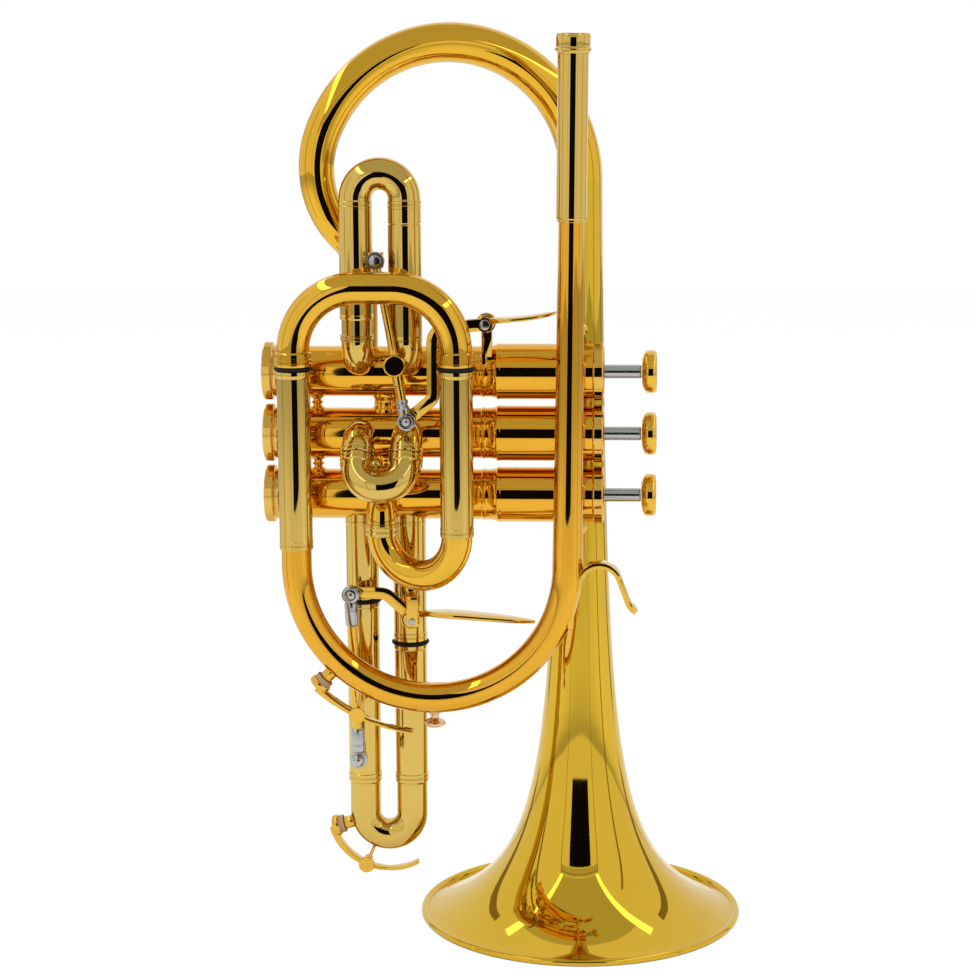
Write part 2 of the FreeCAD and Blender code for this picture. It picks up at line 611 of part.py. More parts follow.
for leg in second_lefts:
    stretches += [
        (run, second_face + leg, second_down, "second_bow_leg", "sleeve_radius", bow_bore),
        (run, second_face + leg - second_down * v.second_insert, second_down,
         "second_insert + second_bow_leg", "inner_radius", inner_bore)]
node("second_slide", tubework(stretches))
knob_root = second_middle + second_down * (v.slide_pitch / 2 - v.bow_radius)
node("second_slide_knob", fused([
    cylinder(knob_root, second_down * -1, "knob_length", "knob_stem_radius"),
    ball(knob_root - second_down * v.knob_length, "knob_radius")]))

# --- Third slide ----------------------------------------------------------------------------------

third_left = Vector(v.third_left, -v.valve_depth, 0)
third_right = third_left + RIGHT * v.slide_pitch
third_tubes, third_stretches, third_bumpers = [], [], []
for leg, stop in ((third_left, "third_left_stop"), (third_right, "third_right_stop")):
    stop_height = number(stop)
    third_tubes.append(tubework([
        (run, leg + UP * (stop_height + 2 * v.ring_section), UP,
         f"valve_1_height - 2 * valve_pitch - {stop} - 2 * ring_section", "third_sleeve_radius", inner_bore),
        (run, leg + UP * v.third_tube_bottom, UP, f"{stop} + 5 - third_tube_bottom",
         "inner_radius", inner_bore)], [casing_tool(3)]))
    third_stretches.append((run, leg + UP * v.third_bow_height, UP, f"{stop} - third_bow_height",
                            "third_sleeve_radius", bore))
    third_bumpers.append(ring(leg + UP * (stop_height + v.ring_section), RIGHT, BACK,
                              "inner_radius + slide_gap + ring_section", "ring_section"))
node("third_fixed_tubes", *third_tubes)
third_stretches.append((bend, (third_left + third_right) * 0.5 + UP * v.third_bow_height, LEFT, DOWN,
                        "slide_pitch / 2", "180", "bow_radius", bow_bore))
node("third_slide", tubework(third_stretches))
node("third_bumpers", *third_bumpers)

# --- Braces, hook and lyre holder -------------------------------------------------------------------


def brace(start, end):
    """A round brace with a flared foot at each end."""
    direction = (end - start).normalize()
    length = (end - start).Length
    return fused([cylinder(start, direction, f"{length:.4f}", "brace_radius"),
                  cylinder(start, direction, "brace_foot", "brace_foot_radius", "brace_radius"),
                  cylinder(end - direction * v.brace_foot, direction, "brace_foot", "brace_radius",
                           "brace_foot_radius")])


def pipe_x(height):
    return v.leadpipe_foot + (height - v.lead_bow_height) * math.tan(lean)


lead_braces = []
for height in (v.valve_1_height + v.cap_radius + v.brace_foot_radius,
               valve_height(3) - v.cap_radius - v.brace_foot_radius - 1.5):
    near = Vector(pipe_x(height), -v.lead_depth, height)
    far = Vector(0, 0, height)
    pipe_tool = cylinder(pipe_foot, along_pipe, pipe_formula, "lead_bow_tube", "leadpipe_top_radius")
    bell_tool = cylinder(far - UP * v.brace_foot_radius, UP, "2 * brace_foot_radius",
                         f"{flare(height - v.brace_foot_radius):.3f} + brace_gap",
                         f"{flare(height + v.brace_foot_radius):.3f} + brace_gap")
    lead_braces.append(cut(brace(near + BACK * 5.2, far + FRONT * (flare(height) - 0.4)),
                           [pipe_tool, bell_tool]))
sleeve_braces = []
for leg in (left_leg, right_leg):
    near = leg + UP * valve_height(2)
    far = Vector(leg.x, -v.valve_depth, valve_height(2))
    sleeve_tool = cylinder(near - UP * 10, UP, "20", "sleeve_radius")
    sleeve_braces.append(cut(
        brace(near + BACK * (v.sleeve_radius - 0.6), far + FRONT * (v.casing_radius - 0.6)),
        [sleeve_tool, casing_tool(2)]))
node("tube_braces", *lead_braces, *sleeve_braces)

hook_line_x = pipe_x(v.hook_spring) + v.lead_bow_tube + v.hook_thickness / 2 - 0.1
hook_base = Vector(hook_line_x, -v.lead_depth, v.hook_foot)
hook_start = Vector(hook_line_x, -v.lead_depth, v.hook_spring)
hook_end = hook_start + RIGHT * 2 * v.hook_radius
hook_path = Part.Wire([
    Part.makeLine(hook_base, hook_start),
    Part.Arc(hook_start, hook_start + (RIGHT + UP) * v.hook_radius, hook_end).toShape(),
    Part.makeLine(hook_end, hook_end + DOWN * v.hook_drop)])
half_w, half_t = v.hook_width / 2, v.hook_thickness / 2
hook_section = Part.makePolygon([hook_base + Vector(x * half_t, y * half_w, 0)
                                 for x, y in ((-1, -1), (1, -1), (1, 1), (-1, 1), (-1, -1))])
hook_shape = hook_path.makePipeShell([hook_section], True, False)
pipe_space = Part.makeCone(v.lead_bow_tube, v.leadpipe_top_radius, pipe_length, pipe_foot, along_pipe)
bow_space = Part.makeTorus((v.leadpipe_foot - v.tuning_left) / 2, v.lead_bow_tube, lead_middle, BACK)
node("pinky_hook", shaped("pinky_hook", hook_shape.cut(pipe_space).cut(bow_space)))

lyre_x = lead_middle.x
lead_bottom = v.lead_bow_height - number(lead_bend)
lyre_corner = Vector(lyre_x - v.lyre_width / 2, -v.lead_depth + 1.0, lead_bottom - v.lyre_height / 2)
lyre_middle = lyre_corner + Vector(v.lyre_width / 2, v.lyre_depth + 1.5, v.lyre_height / 2)
bow_tool = ring(lead_middle, RIGHT, DOWN, lead_bend, "lead_bow_tube", "360")
screw_hole = cylinder(lyre_middle + DOWN * 10, UP, "10", "lyre_screw_radius + thread_gap")
bore_tool = cylinder(lyre_middle + LEFT * 10, RIGHT, "20", "lyre_bore_radius")
node("lyre_holder", cut(block(lyre_corner, "lyre_width", "lyre_depth + 6", "lyre_height"),
                        [bow_tool, bore_tool, screw_hole]))
screw_tip = lyre_middle + DOWN * (v.lyre_bore_radius + v.screw_gap)
screw_reach = v.lyre_height / 2 - v.lyre_bore_radius - v.screw_gap + v.screw_stand
node("lyre_screw", fused([
    cylinder(screw_tip, DOWN, f"{screw_reach:.4f}", "lyre_screw_radius"),
    cylinder(screw_tip + DOWN * screw_reach, DOWN, "lyre_head_height", "lyre_head_radius")]))

# --- First slide's trigger --------------------------------------------------------------------------

hub_hole = "trigger_pin_radius + hub_gap"
arm_depth = v.lead_depth - v.bow_radius - 5.3
front_arm_depth = first_depth + v.sleeve_radius + 0.35
first_pivot = Vector(v.first_pivot_x, 0, v.first_pivot_z)


def at_depth(x, depth, z):
    return Vector(x, -depth, z)


post_back, post_front = v.valve_depth + 3.5, v.valve_depth + 9.5
post = block(at_depth(v.first_pivot_x - 2, post_front, v.valve_1_height), "4", "6",
             "first_pivot_z - valve_1_height")
post_top = cylinder(at_depth(v.first_pivot_x, post_back, v.first_pivot_z), FRONT, "6", "2")
pin_tool = cylinder(at_depth(v.first_pivot_x, post_back - 1, v.first_pivot_z), FRONT, "8",
                    "trigger_pin_radius")
node("first_trigger_post", cut(fused([post, post_top]), barrel_tools(1) + [pin_tool]))
hub_back = post_front + 0.3
hub_length = arm_depth + v.lever_thickness - hub_back
first_pin = fused([
    cylinder(at_depth(v.first_pivot_x, post_back - 0.6, v.first_pivot_z), FRONT, f"{hub_length + 8.0:.3f}",
             "trigger_pin_radius"),
    cylinder(at_depth(v.first_pivot_x, post_back - 0.6 + hub_length + 7.4, v.first_pivot_z), FRONT, "0.8",
             "trigger_pin_radius * 1.7")])


def bar(start, end, depth, width, thickness):
    """A flat bar facing front between two (x, z) places, round at both ends."""
    x0, z0 = start
    x1, z1 = end
    length = math.hypot(x1 - x0, z1 - z0)
    body = block(Vector(), f"{length:.4f}", thickness, width)
    turn = Rotation(BACK, -math.degrees(math.atan2(z1 - z0, x1 - x0)))
    base = at_depth(x0, depth, z0) + turn.multVec(Vector(0, -number(thickness), -number(width) / 2))
    body.Placement = FreeCAD.Placement(base, turn)
    tips = [cylinder(at_depth(x, depth, z), FRONT, thickness, f"({width}) / 2") for x, z in (start, end)]
    return [body] + tips


arm_corner = (v.first_arm_x, v.first_pivot_z - 1.0)
arm_step = (v.first_arm_x, v.first_pivot_z - 11.0)
arm_low = (v.first_arm_x, 227.5)
pivot_place = (v.first_pivot_x, v.first_pivot_z)
joint_place = (v.first_joint_x, v.first_joint_z)
lever_parts = [cylinder(at_depth(v.first_pivot_x, hub_back, v.first_pivot_z), FRONT,
                        f"{hub_length:.4f}", "hub_radius")]
lever_parts += bar(pivot_place, arm_corner, arm_depth, "lever_width", "lever_thickness")
lever_parts += bar(arm_corner, arm_step, arm_depth, "lever_width", "lever_thickness")
lever_parts += bar(arm_step, arm_low, front_arm_depth, "lever_width", "lever_thickness")
lever_parts += bar(arm_low, joint_place, front_arm_depth, "lever_width", "lever_thickness")
step_length = abs(front_arm_depth - arm_depth) + v.lever_thickness
lever_parts.append(cylinder(at_depth(arm_step[0], min(arm_depth, front_arm_depth), arm_step[1]), FRONT,
                            f"{step_length:.4f}",
                            "lever_width / 2"))
lever_parts.append(cylinder(at_depth(v.first_joint_x, front_arm_depth, v.first_joint_z), FRONT, "5",
                            "joint_pin_radius"))
blade_tip = (v.first_pivot_x + 26.0, v.first_pivot_z + 4.0)
blade_root = (v.first_pivot_x + 2.5, v.first_pivot_z + 1.7)
lever_parts += bar(blade_root, blade_tip, hub_back + v.trigger_spring + v.spring_room,
                   "first_blade_thickness", "blade_width")
node("first_trigger", cut(fused(lever_parts), [
    cylinder(at_depth(v.first_pivot_x, hub_back - 1, v.first_pivot_z), FRONT,
             f"{hub_length + 2:.4f}", hub_hole)]))

socket_depth = front_arm_depth + v.lever_thickness + 0.4
link_top = at_depth(v.link_top_x, v.link_top_depth, v.link_top_z)
link_bend = at_depth(v.link_bend_x, v.link_bend_depth, v.link_bend_z)
link_foot = at_depth(v.first_joint_x - 0.9, socket_depth + 2.0, v.first_joint_z + v.joint_radius - 0.4)


def rod(start, end, radius, tools=()):
    direction = end - start
    return cylinder(start, direction, f"{direction.Length:.4f}", radius)


knob_at = link_bend + (link_foot - link_bend) * 0.42
eye_depth = v.link_top_depth - v.eye_length / 2
node("first_link", cut(fused([
    rod(link_top, link_bend, "link_radius"), ball(link_bend, "link_radius"),
    rod(link_bend, link_foot, "link_radius"),
    rod(knob_at, link_foot, "link_radius * 1.3"),
    cylinder(knob_at, FRONT, "link_knob_height", "link_knob_radius"),
    cylinder(at_depth(v.link_top_x, eye_depth, v.link_top_z), FRONT, "eye_length", "joint_radius - 0.3")]),
    [cylinder(at_depth(v.link_top_x, eye_depth - 1, v.link_top_z), FRONT, "8", hub_hole),
     cylinder(at_depth(v.first_joint_x, socket_depth - 1, v.first_joint_z), FRONT, "6", "joint_radius")]))
node("first_link_socket", cut(
    cylinder(at_depth(v.first_joint_x, socket_depth, v.first_joint_z), FRONT, "4", "joint_radius"),
    [cylinder(at_depth(v.first_joint_x, socket_depth - 1, v.first_joint_z), FRONT, "6",
              "joint_hole_radius")]))
lug_front = eye_depth - 0.4
lug_corner = at_depth(v.slide_left + 2, lug_front, v.link_top_z - 3)
lug_tool = cylinder(first_left + UP * 250, UP, "60", "sleeve_radius")
node("first_slide_lug", cut(fused([
    block(lug_corner, f"{v.link_top_x + 2.6 - v.slide_left - 2:.4f}", f"{lug_front - 41.6:.4f}", "6"),
    cylinder(at_depth(v.link_top_x, 41.6, v.link_top_z), FRONT,
             f"{eye_depth + v.eye_length + 0.2 - 41.6:.4f}", "trigger_pin_radius")]), [lug_tool]))

# --- Third slide's trigger --------------------------------------------------------------------------

third_depth = v.third_lever_depth
plate_back = v.valve_depth + 3.0
bracket = [block(at_depth(v.third_pivot_x - 2.0, third_depth - 0.4, v.third_pivot_z), "4",
                 f"{third_depth - 0.4 - plate_back:.4f}", "10"),
           cylinder(at_depth(v.third_pivot_x, plate_back, v.third_pivot_z), FRONT,
                    f"{third_depth - 0.4 - plate_back:.4f}", "2")]
third_leg_tool = cylinder(third_right + UP * 120, UP, "60", "third_sleeve_radius")
node("third_trigger_bracket", cut(fused(bracket), [
    third_leg_tool,
    cylinder(at_depth(v.third_pivot_x, 33.9, v.third_pivot_z), FRONT, "12", "trigger_pin_radius")]))
third_end = third_depth + v.lever_thickness + v.trigger_spring + v.spring_room + 0.2
third_pin = fused([
    cylinder(at_depth(v.third_pivot_x, 34.0, v.third_pivot_z), FRONT, f"{third_end - 34.0:.4f}",
             "trigger_pin_radius"),
    cylinder(at_depth(v.third_pivot_x, third_end - 0.1, v.third_pivot_z), FRONT, "0.8",
             "trigger_pin_radius * 1.7")])
node("trigger_pins", first_pin, third_pin)

third_pivot = (v.third_pivot_x, v.third_pivot_z)
third_joint = (v.third_joint_x, v.third_joint_z)
knee = (v.third_pivot_x - 9.5, v.third_pivot_z + 10.6)
low_knee = (v.third_pivot_x - 1.5, v.third_pivot_z + 4.0)
third_hub = "lever_thickness + trigger_spring + spring_room"
parts = [cylinder(at_depth(v.third_pivot_x, third_depth, v.third_pivot_z), FRONT, third_hub, "hub_radius")]
parts += bar(third_pivot, low_knee, third_depth, "lever_width", "lever_thickness")
parts += bar(low_knee, knee, third_depth, "lever_width", "lever_thickness")
parts += bar(knee, third_joint, third_depth, "lever_width", "lever_thickness")
parts.append(cylinder(at_depth(v.third_joint_x, third_depth, v.third_joint_z), FRONT, "5.8",
                      "joint_pin_radius"))
blade_back = third_depth - 4.5
parts += bar((v.third_pivot_x + 5.2, v.third_pivot_z), (v.third_blade_tip, v.third_pivot_z - 0.8),
             blade_back, "third_blade_thickness", "blade_width")
parts += bar(third_pivot, (v.third_pivot_x + 6.6, v.third_pivot_z), third_depth, "lever_width",
             "lever_thickness")
node("third_trigger", cut(fused(parts), [
    cylinder(at_depth(v.third_pivot_x, third_depth - 1, v.third_pivot_z), FRONT, f"{third_hub} + 2",
             hub_hole)]))

rod_depth = third_depth + v.lever_thickness + 0.4 + 2.0
rod_top = at_depth(v.third_joint_x, rod_depth, v.third_joint_z)
rod_foot = at_depth(v.rod_foot_x, rod_depth, v.rod_foot_z)
node("third_rod", cut(rod(rod_top, rod_foot, "rod_radius"), [
    cylinder(rod_top + BACK * 3, FRONT, "6", "joint_radius"),
    cylinder(rod_foot + BACK * 3, FRONT, "6", "joint_radius")]))
top_socket = cut(cylinder(rod_top + BACK * 2, FRONT, "4", "joint_radius"),
                 [cylinder(rod_top + BACK * 3, FRONT, "6", "joint_hole_radius")])
foot_socket = cut(cylinder(rod_foot + BACK * 2, FRONT, "4", "joint_radius"),
                  [cylinder(rod_foot + BACK * 3, FRONT, "6", "trigger_pin_radius + hub_gap")])
node("third_rod_sockets", top_socket, foot_socket)
third_sleeve_tool = cylinder(third_left + UP * 60, UP, "40", "third_sleeve_radius")
node("third_slide_lug", cut(fused([
    cylinder(at_depth(v.rod_foot_x, 32.0, v.rod_foot_z), FRONT, f"{rod_depth - 2.3 - 32.0:.4f}", "2.4"),
    cylinder(at_depth(v.rod_foot_x, 32.0, v.rod_foot_z), FRONT, f"{rod_depth + 2.3 - 32.0:.4f}",
             "trigger_pin_radius")]),
    [third_sleeve_tool]))

node("trigger_springs",
     *[coil(at_depth(x, depth + v.spring_room, z), FRONT, v.trigger_spring - 2 * v.trigger_spring_wire,
            v.trigger_spring_radius, v.trigger_spring_wire, v.trigger_spring)
       for x, depth, z in ((v.first_pivot_x, hub_back, v.first_pivot_z),
                           (v.third_pivot_x, third_depth + v.lever_thickness, v.third_pivot_z))])

# --- Water keys -------------------------------------------------------------------------------------


def polar(centre, radius, degrees):
    angle = math.radians(degrees)
    return centre + Vector(radius * math.cos(angle), 0, radius * math.sin(angle))


def arc_strip(centre, inner, outer, first, last, width):
    """A strip bent round an axis along Y, between two angles seen from the front."""
    solids = []
    for radius in (outer, inner):
        sector = doc.addObject("Part::Cylinder", "sector")
        bind(sector, Radius=radius, Height=width, Angle=f"{last - first:.3f}")
        start = polar(Vector(), 1, first)
        axis = FRONT
        sector.Placement = FreeCAD.Placement(centre + BACK * (number(width) / 2),
                                             Rotation(start, axis.cross(start), axis, "XYZ"))
        solids.append(sector)
    return cut(solids[0], [solids[1]])


def water_key(centre, tube_outside, angles, tube_bend, tube_radius):
    """Nipple and saddle on the tube, the key that swings on the saddle, and the key's cork."""
    cup_angle, pivot_angle, finger_angle = angles
    lever_in = tube_outside + v.nipple_length + v.cork_gap + v.cork_height + v.cup_height
    pivot_at = polar(centre, lever_in, pivot_angle)
    outward = polar(Vector(), 1, cup_angle)
    tube_tool = ring(centre, RIGHT, DOWN, tube_bend, tube_radius, "360")
    nipple = cut(cylinder(centre + outward * (tube_outside - 1), outward, "nipple_length + 1",
                          "nipple_radius"), [tube_tool])
    ear = polar(Vector(), 1, pivot_angle)
    ears = []
    for side in (BACK, FRONT):
        ears.append(cylinder(pivot_at + side * (v.key_width / 2 + 0.3), side, "1.2", "key_hub_radius"))
        ears.append(rod(pivot_at + side * (v.key_width / 2 + 0.9) - ear * (lever_in - tube_outside + 0.6),
                        pivot_at + side * (v.key_width / 2 + 0.9), "0.6"))
    saddle = cut(fused(ears + [cylinder(pivot_at + BACK * (v.key_width / 2 + 1.5), FRONT, "key_width + 3",
                                        "key_pin_radius")]),
                 [ring(centre, RIGHT, DOWN, tube_bend, tube_radius, "360")])
    strip = arc_strip(centre, f"{lever_in:.4f}", f"{lever_in:.4f} + key_thickness", cup_angle, finger_angle,
                      "key_width")
    cup = cylinder(centre + outward * (lever_in - v.cup_height), outward, "cup_height + key_thickness",
                   "cup_radius")
    hub = cylinder(pivot_at + BACK * (v.key_width / 2), FRONT, "key_width", "key_hub_radius")
    key = cut(fused([strip, cup, hub]), [
        cylinder(pivot_at + BACK * 4, FRONT, "8", "key_pin_radius + hub_gap"),
        cylinder(centre + outward * (lever_in - v.cup_height - 1), outward, "1 + cup_height / 2",
                 "cork_radius")])
    cork = cylinder(centre + outward * (tube_outside + v.nipple_length + v.cork_gap), outward,
                    "cork_height + cup_height / 2", "cork_radius")
    return nipple, saddle, key, cork


lead_outside = number(lead_bend) + v.lead_bow_tube
lead_nipple, lead_saddle, lead_key, lead_cork = water_key(
    lead_middle, lead_outside, (227.0, 243.5, 263.5), lead_bend, "lead_bow_tube")
node("lead_key_seat", lead_saddle, lead_nipple)
node("lead_water_key", lead_key)
node("lead_key_cork", lead_cork)
third_middle = (third_left + third_right) * 0.5 + UP * v.third_bow_height
third_nipple, third_saddle, third_key, third_cork = water_key(
    third_middle, v.slide_pitch / 2 + v.bow_radius, (196.0, 247.0, 300.0), "slide_pitch / 2", "bow_radius")
node("third_key_seat", third_saddle, third_nipple)
node("third_water_key", third_key)
node("third_key_cork", third_cork)

# --- Checks and files -------------------------------------------------------------------------------

doc.recompute()
for item in doc.Objects:
    if "Invalid" in item.State or "Error" in item.State:
        raise RuntimeError(f"{item.Label} did not rebuild: {item.State}")
for piece in nodes:
    if piece.Shape.isNull() or not piece.Shape.isValid():
        raise RuntimeError(f"{piece.Label} has no valid shape")
os.makedirs("parts", exist_ok=True)
for piece in nodes:
    piece.Shape.exportStep(f"parts/{piece.Label}.step")
    print(f"{piece.Label}: {len(piece.Shape.Solids)} solid(s), {piece.Shape.Volume:.0f} mm3")
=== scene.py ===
import math

import bpy
from mathutils import Euler, Matrix, Quaternion, Vector


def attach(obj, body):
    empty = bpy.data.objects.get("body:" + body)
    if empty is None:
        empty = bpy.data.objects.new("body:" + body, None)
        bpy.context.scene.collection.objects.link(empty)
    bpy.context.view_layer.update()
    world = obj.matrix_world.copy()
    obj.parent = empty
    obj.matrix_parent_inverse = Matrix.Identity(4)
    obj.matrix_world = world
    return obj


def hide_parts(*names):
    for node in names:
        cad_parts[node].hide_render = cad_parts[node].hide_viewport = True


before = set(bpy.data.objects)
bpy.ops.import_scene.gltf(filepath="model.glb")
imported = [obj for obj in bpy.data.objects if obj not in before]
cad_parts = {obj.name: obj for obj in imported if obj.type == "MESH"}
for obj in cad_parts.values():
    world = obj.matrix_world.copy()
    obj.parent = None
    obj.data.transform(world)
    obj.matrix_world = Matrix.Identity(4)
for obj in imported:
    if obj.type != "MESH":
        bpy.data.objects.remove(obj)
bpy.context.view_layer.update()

# --- Studio -----------------------------------------------
# A white cloth tent on a pale floor, lit through its sides.  Its front has a dark square opening
# for the lens, seams at its corners and two rows of lamps under its roof, and the metal mirrors them.

MM = 0.001
camera_data = bpy.data.cameras.new("studio_camera")
camera = bpy.data.objects.new("studio_camera", camera_data)
bpy.context.scene.collection.objects.link(camera)
camera.location = Vector((21.35, -971.77, 348.32)) * MM
camera_tilt, camera_turn, camera_roll = math.radians(9.76), math.radians(3.5), math.radians(-0.3)
level = Euler((math.radians(90) - camera_tilt, 0, camera_turn))
camera.rotation_euler = (level.to_quaternion() @ Quaternion((0, 0, 1), camera_roll)).to_euler()
camera_data.sensor_width = 36
camera_data.lens = 88.52459
camera_data.clip_start = 0.01
bpy.context.scene.camera = camera
bpy.context.scene.view_settings.view_transform = "Standard"


class Flow:
    """A value that runs through a material's nodes; sums and products of it add Math nodes."""

    def __init__(self, tree, socket=None):
        self.tree, self.socket = tree, socket

    def node(self, kind, settings=None, sockets=None, out=0):
        made = self.tree.nodes.new(kind)
        for name, value in (settings or {}).items():
            if name == "stops":
                while len(made.color_ramp.elements) < len(value):
                    made.color_ramp.elements.new(1.0)
                for element, (place, shade) in zip(made.color_ramp.elements, value):
                    element.position = place
                    element.color = (*shade, 1) if isinstance(shade, tuple) else (shade,) * 3 + (1,)
            else:
                setattr(made, name, value)
        for key, value in (sockets or {}).items():
            if isinstance(value, Flow):
                self.tree.links.new(value.socket, made.inputs[key])
            else:
                made.inputs[key].default_value = value
        return Flow(self.tree, made.outputs[out] if made.outputs else None)

    def maths(self, operation, first, second):
        return self.node("ShaderNodeMath", {"operation": operation}, {0: first, 1: second})

    def __add__(self, other): return self.maths("ADD", self, other)
    def __radd__(self, other): return self.maths("ADD", other, self)
    def __sub__(self, other): return self.maths("SUBTRACT", self, other)
    def __rsub__(self, other): return self.maths("SUBTRACT", other, self)
    def __mul__(self, other): return self.maths("MULTIPLY", self, other)
    def __rmul__(self, other): return self.maths("MULTIPLY", other, self)
    def __pow__(self, other): return self.maths("POWER", self, other)


world = bpy.data.worlds.new("tent")
bpy.context.scene.world = world
world.use_nodes = True
world.node_tree.nodes.clear()
sky = Flow(world.node_tree)
shown = sky.node("ShaderNodeLightPath", out="Is Camera Ray")
glossy = sky.node("ShaderNodeLightPath", out="Is Glossy Ray")
strength = 0.62 + shown * 0.38 + glossy * 0.34
background = sky.node("ShaderNodeBackground", None, {"Color": (1, 1, 1, 1), "Strength": strength})
sky.node("ShaderNodeOutputWorld", None, {"Surface": background})


def glowing(name, colour, strength):
    material = bpy.data.materials.new(name)
    material.use_nodes = True
    material.node_tree.nodes.clear()
    flow = Flow(material.node_tree)
    glow = flow.node("ShaderNodeEmission", None, {"Color": (*colour, 1), "Strength": strength})
    flow.node("ShaderNodeOutputMaterial", None, {"Surface": glow})
    return material


def card(name, centre, width, height, facing, material):
    """A flat card that only mirrors see, standing at a place and facing the instrument."""
    bpy.ops.object.select_all(action="DESELECT")
    bpy.ops.mesh.primitive_plane_add(size=1, location=centre)
    made = bpy.context.object
    made.name = name
    made.rotation_euler = Vector(facing).to_track_quat("Z", "Y").to_euler()
    made.scale = (width, height, 1)
    made.data.materials.append(material)
    made.visible_camera = made.visible_diffuse = made.visible_shadow = False
    made.visible_transmission = False
    return made


dark_cloth = glowing("tent_opening", (0.006, 0.005, 0.004), 1.0)
card("tent_opening", (0.010, -0.50, 0.267), 0.33, 0.328, (0, 1, 0), dark_cloth)
fold_shade = glowing("tent_seam", (0.30, 0.24, 0.16), 1.0)
for number, side in enumerate((-1, 1)):
    card(f"front_seam_{number}", (side * 0.30, -0.495, 0.27), 0.012, 0.56, (0, 1, 0), fold_shade)
    card(f"side_fold_{number}", (side * 0.52, -0.18, 0.30), 0.030, 0.62, (-side, 0.3, 0), fold_shade)
    card(f"back_fold_{number}", (side * 0.46, 0.30, 0.30), 0.060, 0.62, (-side, -0.6, 0), fold_shade)
    card(f"lamp_row_{number}", (side * 0.28, -0.145, 0.535), 0.045, 0.69, (0, 0, -1),
         glowing(f"lamp_row_{number}", (1.0, 0.97, 0.9), 3.0))
card("roof_seam", (0, -0.495, 0.502), 0.62, 0.010, (0, 1, 0), fold_shade)
dim_cloth = glowing("tent_roof", (0.60, 0.60, 0.56), 1.0)
card("front_head", (0, -0.497, 0.485), 0.60, 0.095, (0, 1, 0), dim_cloth)
card("tent_roof", (0, -0.20, 0.545), 0.52, 0.59, (0, 0, -1), dim_cloth)

bpy.ops.object.select_all(action="DESELECT")
bpy.ops.mesh.primitive_plane_add(size=6, location=(0, 0, -0.0002))
floor = bpy.context.object
floor.name = "studio_floor"
paper = bpy.data.materials.new("floor_paper")
paper.use_nodes = True
paper.node_tree.nodes.clear()
flow = Flow(paper.node_tree)
seen = flow.node("ShaderNodeLightPath", out="Is Camera Ray")
matte = flow.node("ShaderNodeBsdfDiffuse", None, {"Color": (0.86, 0.86, 0.85, 1)})
bright = flow.node("ShaderNodeEmission", None, {"Color": (1, 1, 1, 1), "Strength": 1.06})
surface = flow.node("ShaderNodeMixShader", None, {0: seen * 0.86, 1: matte, 2: bright})
flow.node("ShaderNodeOutputMaterial", None, {"Surface": surface})
floor.data.materials.append(paper)

middle_of_instrument = Vector((-0.04, 0, 0.18))
for name, place, size, power in (("left_lamp", (-0.9, -0.5, 1.1), 0.9, 7.0),
                                 ("right_lamp", (1.0, -0.3, 1.0), 0.9, 6.0),
                                 ("top_lamp", (0, 0.2, 1.5), 1.2, 8.0)):
    lamp = bpy.data.lights.new(name, "AREA")
    lamp.energy, lamp.size = power, size
    holder = bpy.data.objects.new(name, lamp)
    bpy.context.scene.collection.objects.link(holder)
    holder.location = place
    holder.rotation_euler = (middle_of_instrument - holder.location).to_track_quat("-Z", "Y").to_euler()
    holder.visible_glossy = False
    holder.visible_camera = False

# --- Bell -------------------------------------------------
# One sheet of yellow brass, hammered and spun to a flare on a mandrel, then drawn out to a long
# tail.  Its edge is rolled back over a wire into a round bead, and the whole is buffed to a mirror
# and sprayed with clear gold lacquer.

RIGHT, LEFT = Vector((1, 0, 0)), Vector((-1, 0, 0))
BACK, FRONT = Vector((0, 1, 0)), Vector((0, -1, 0))
UP, DOWN = Vector((0, 0, 1)), Vector((0, 0, -1))


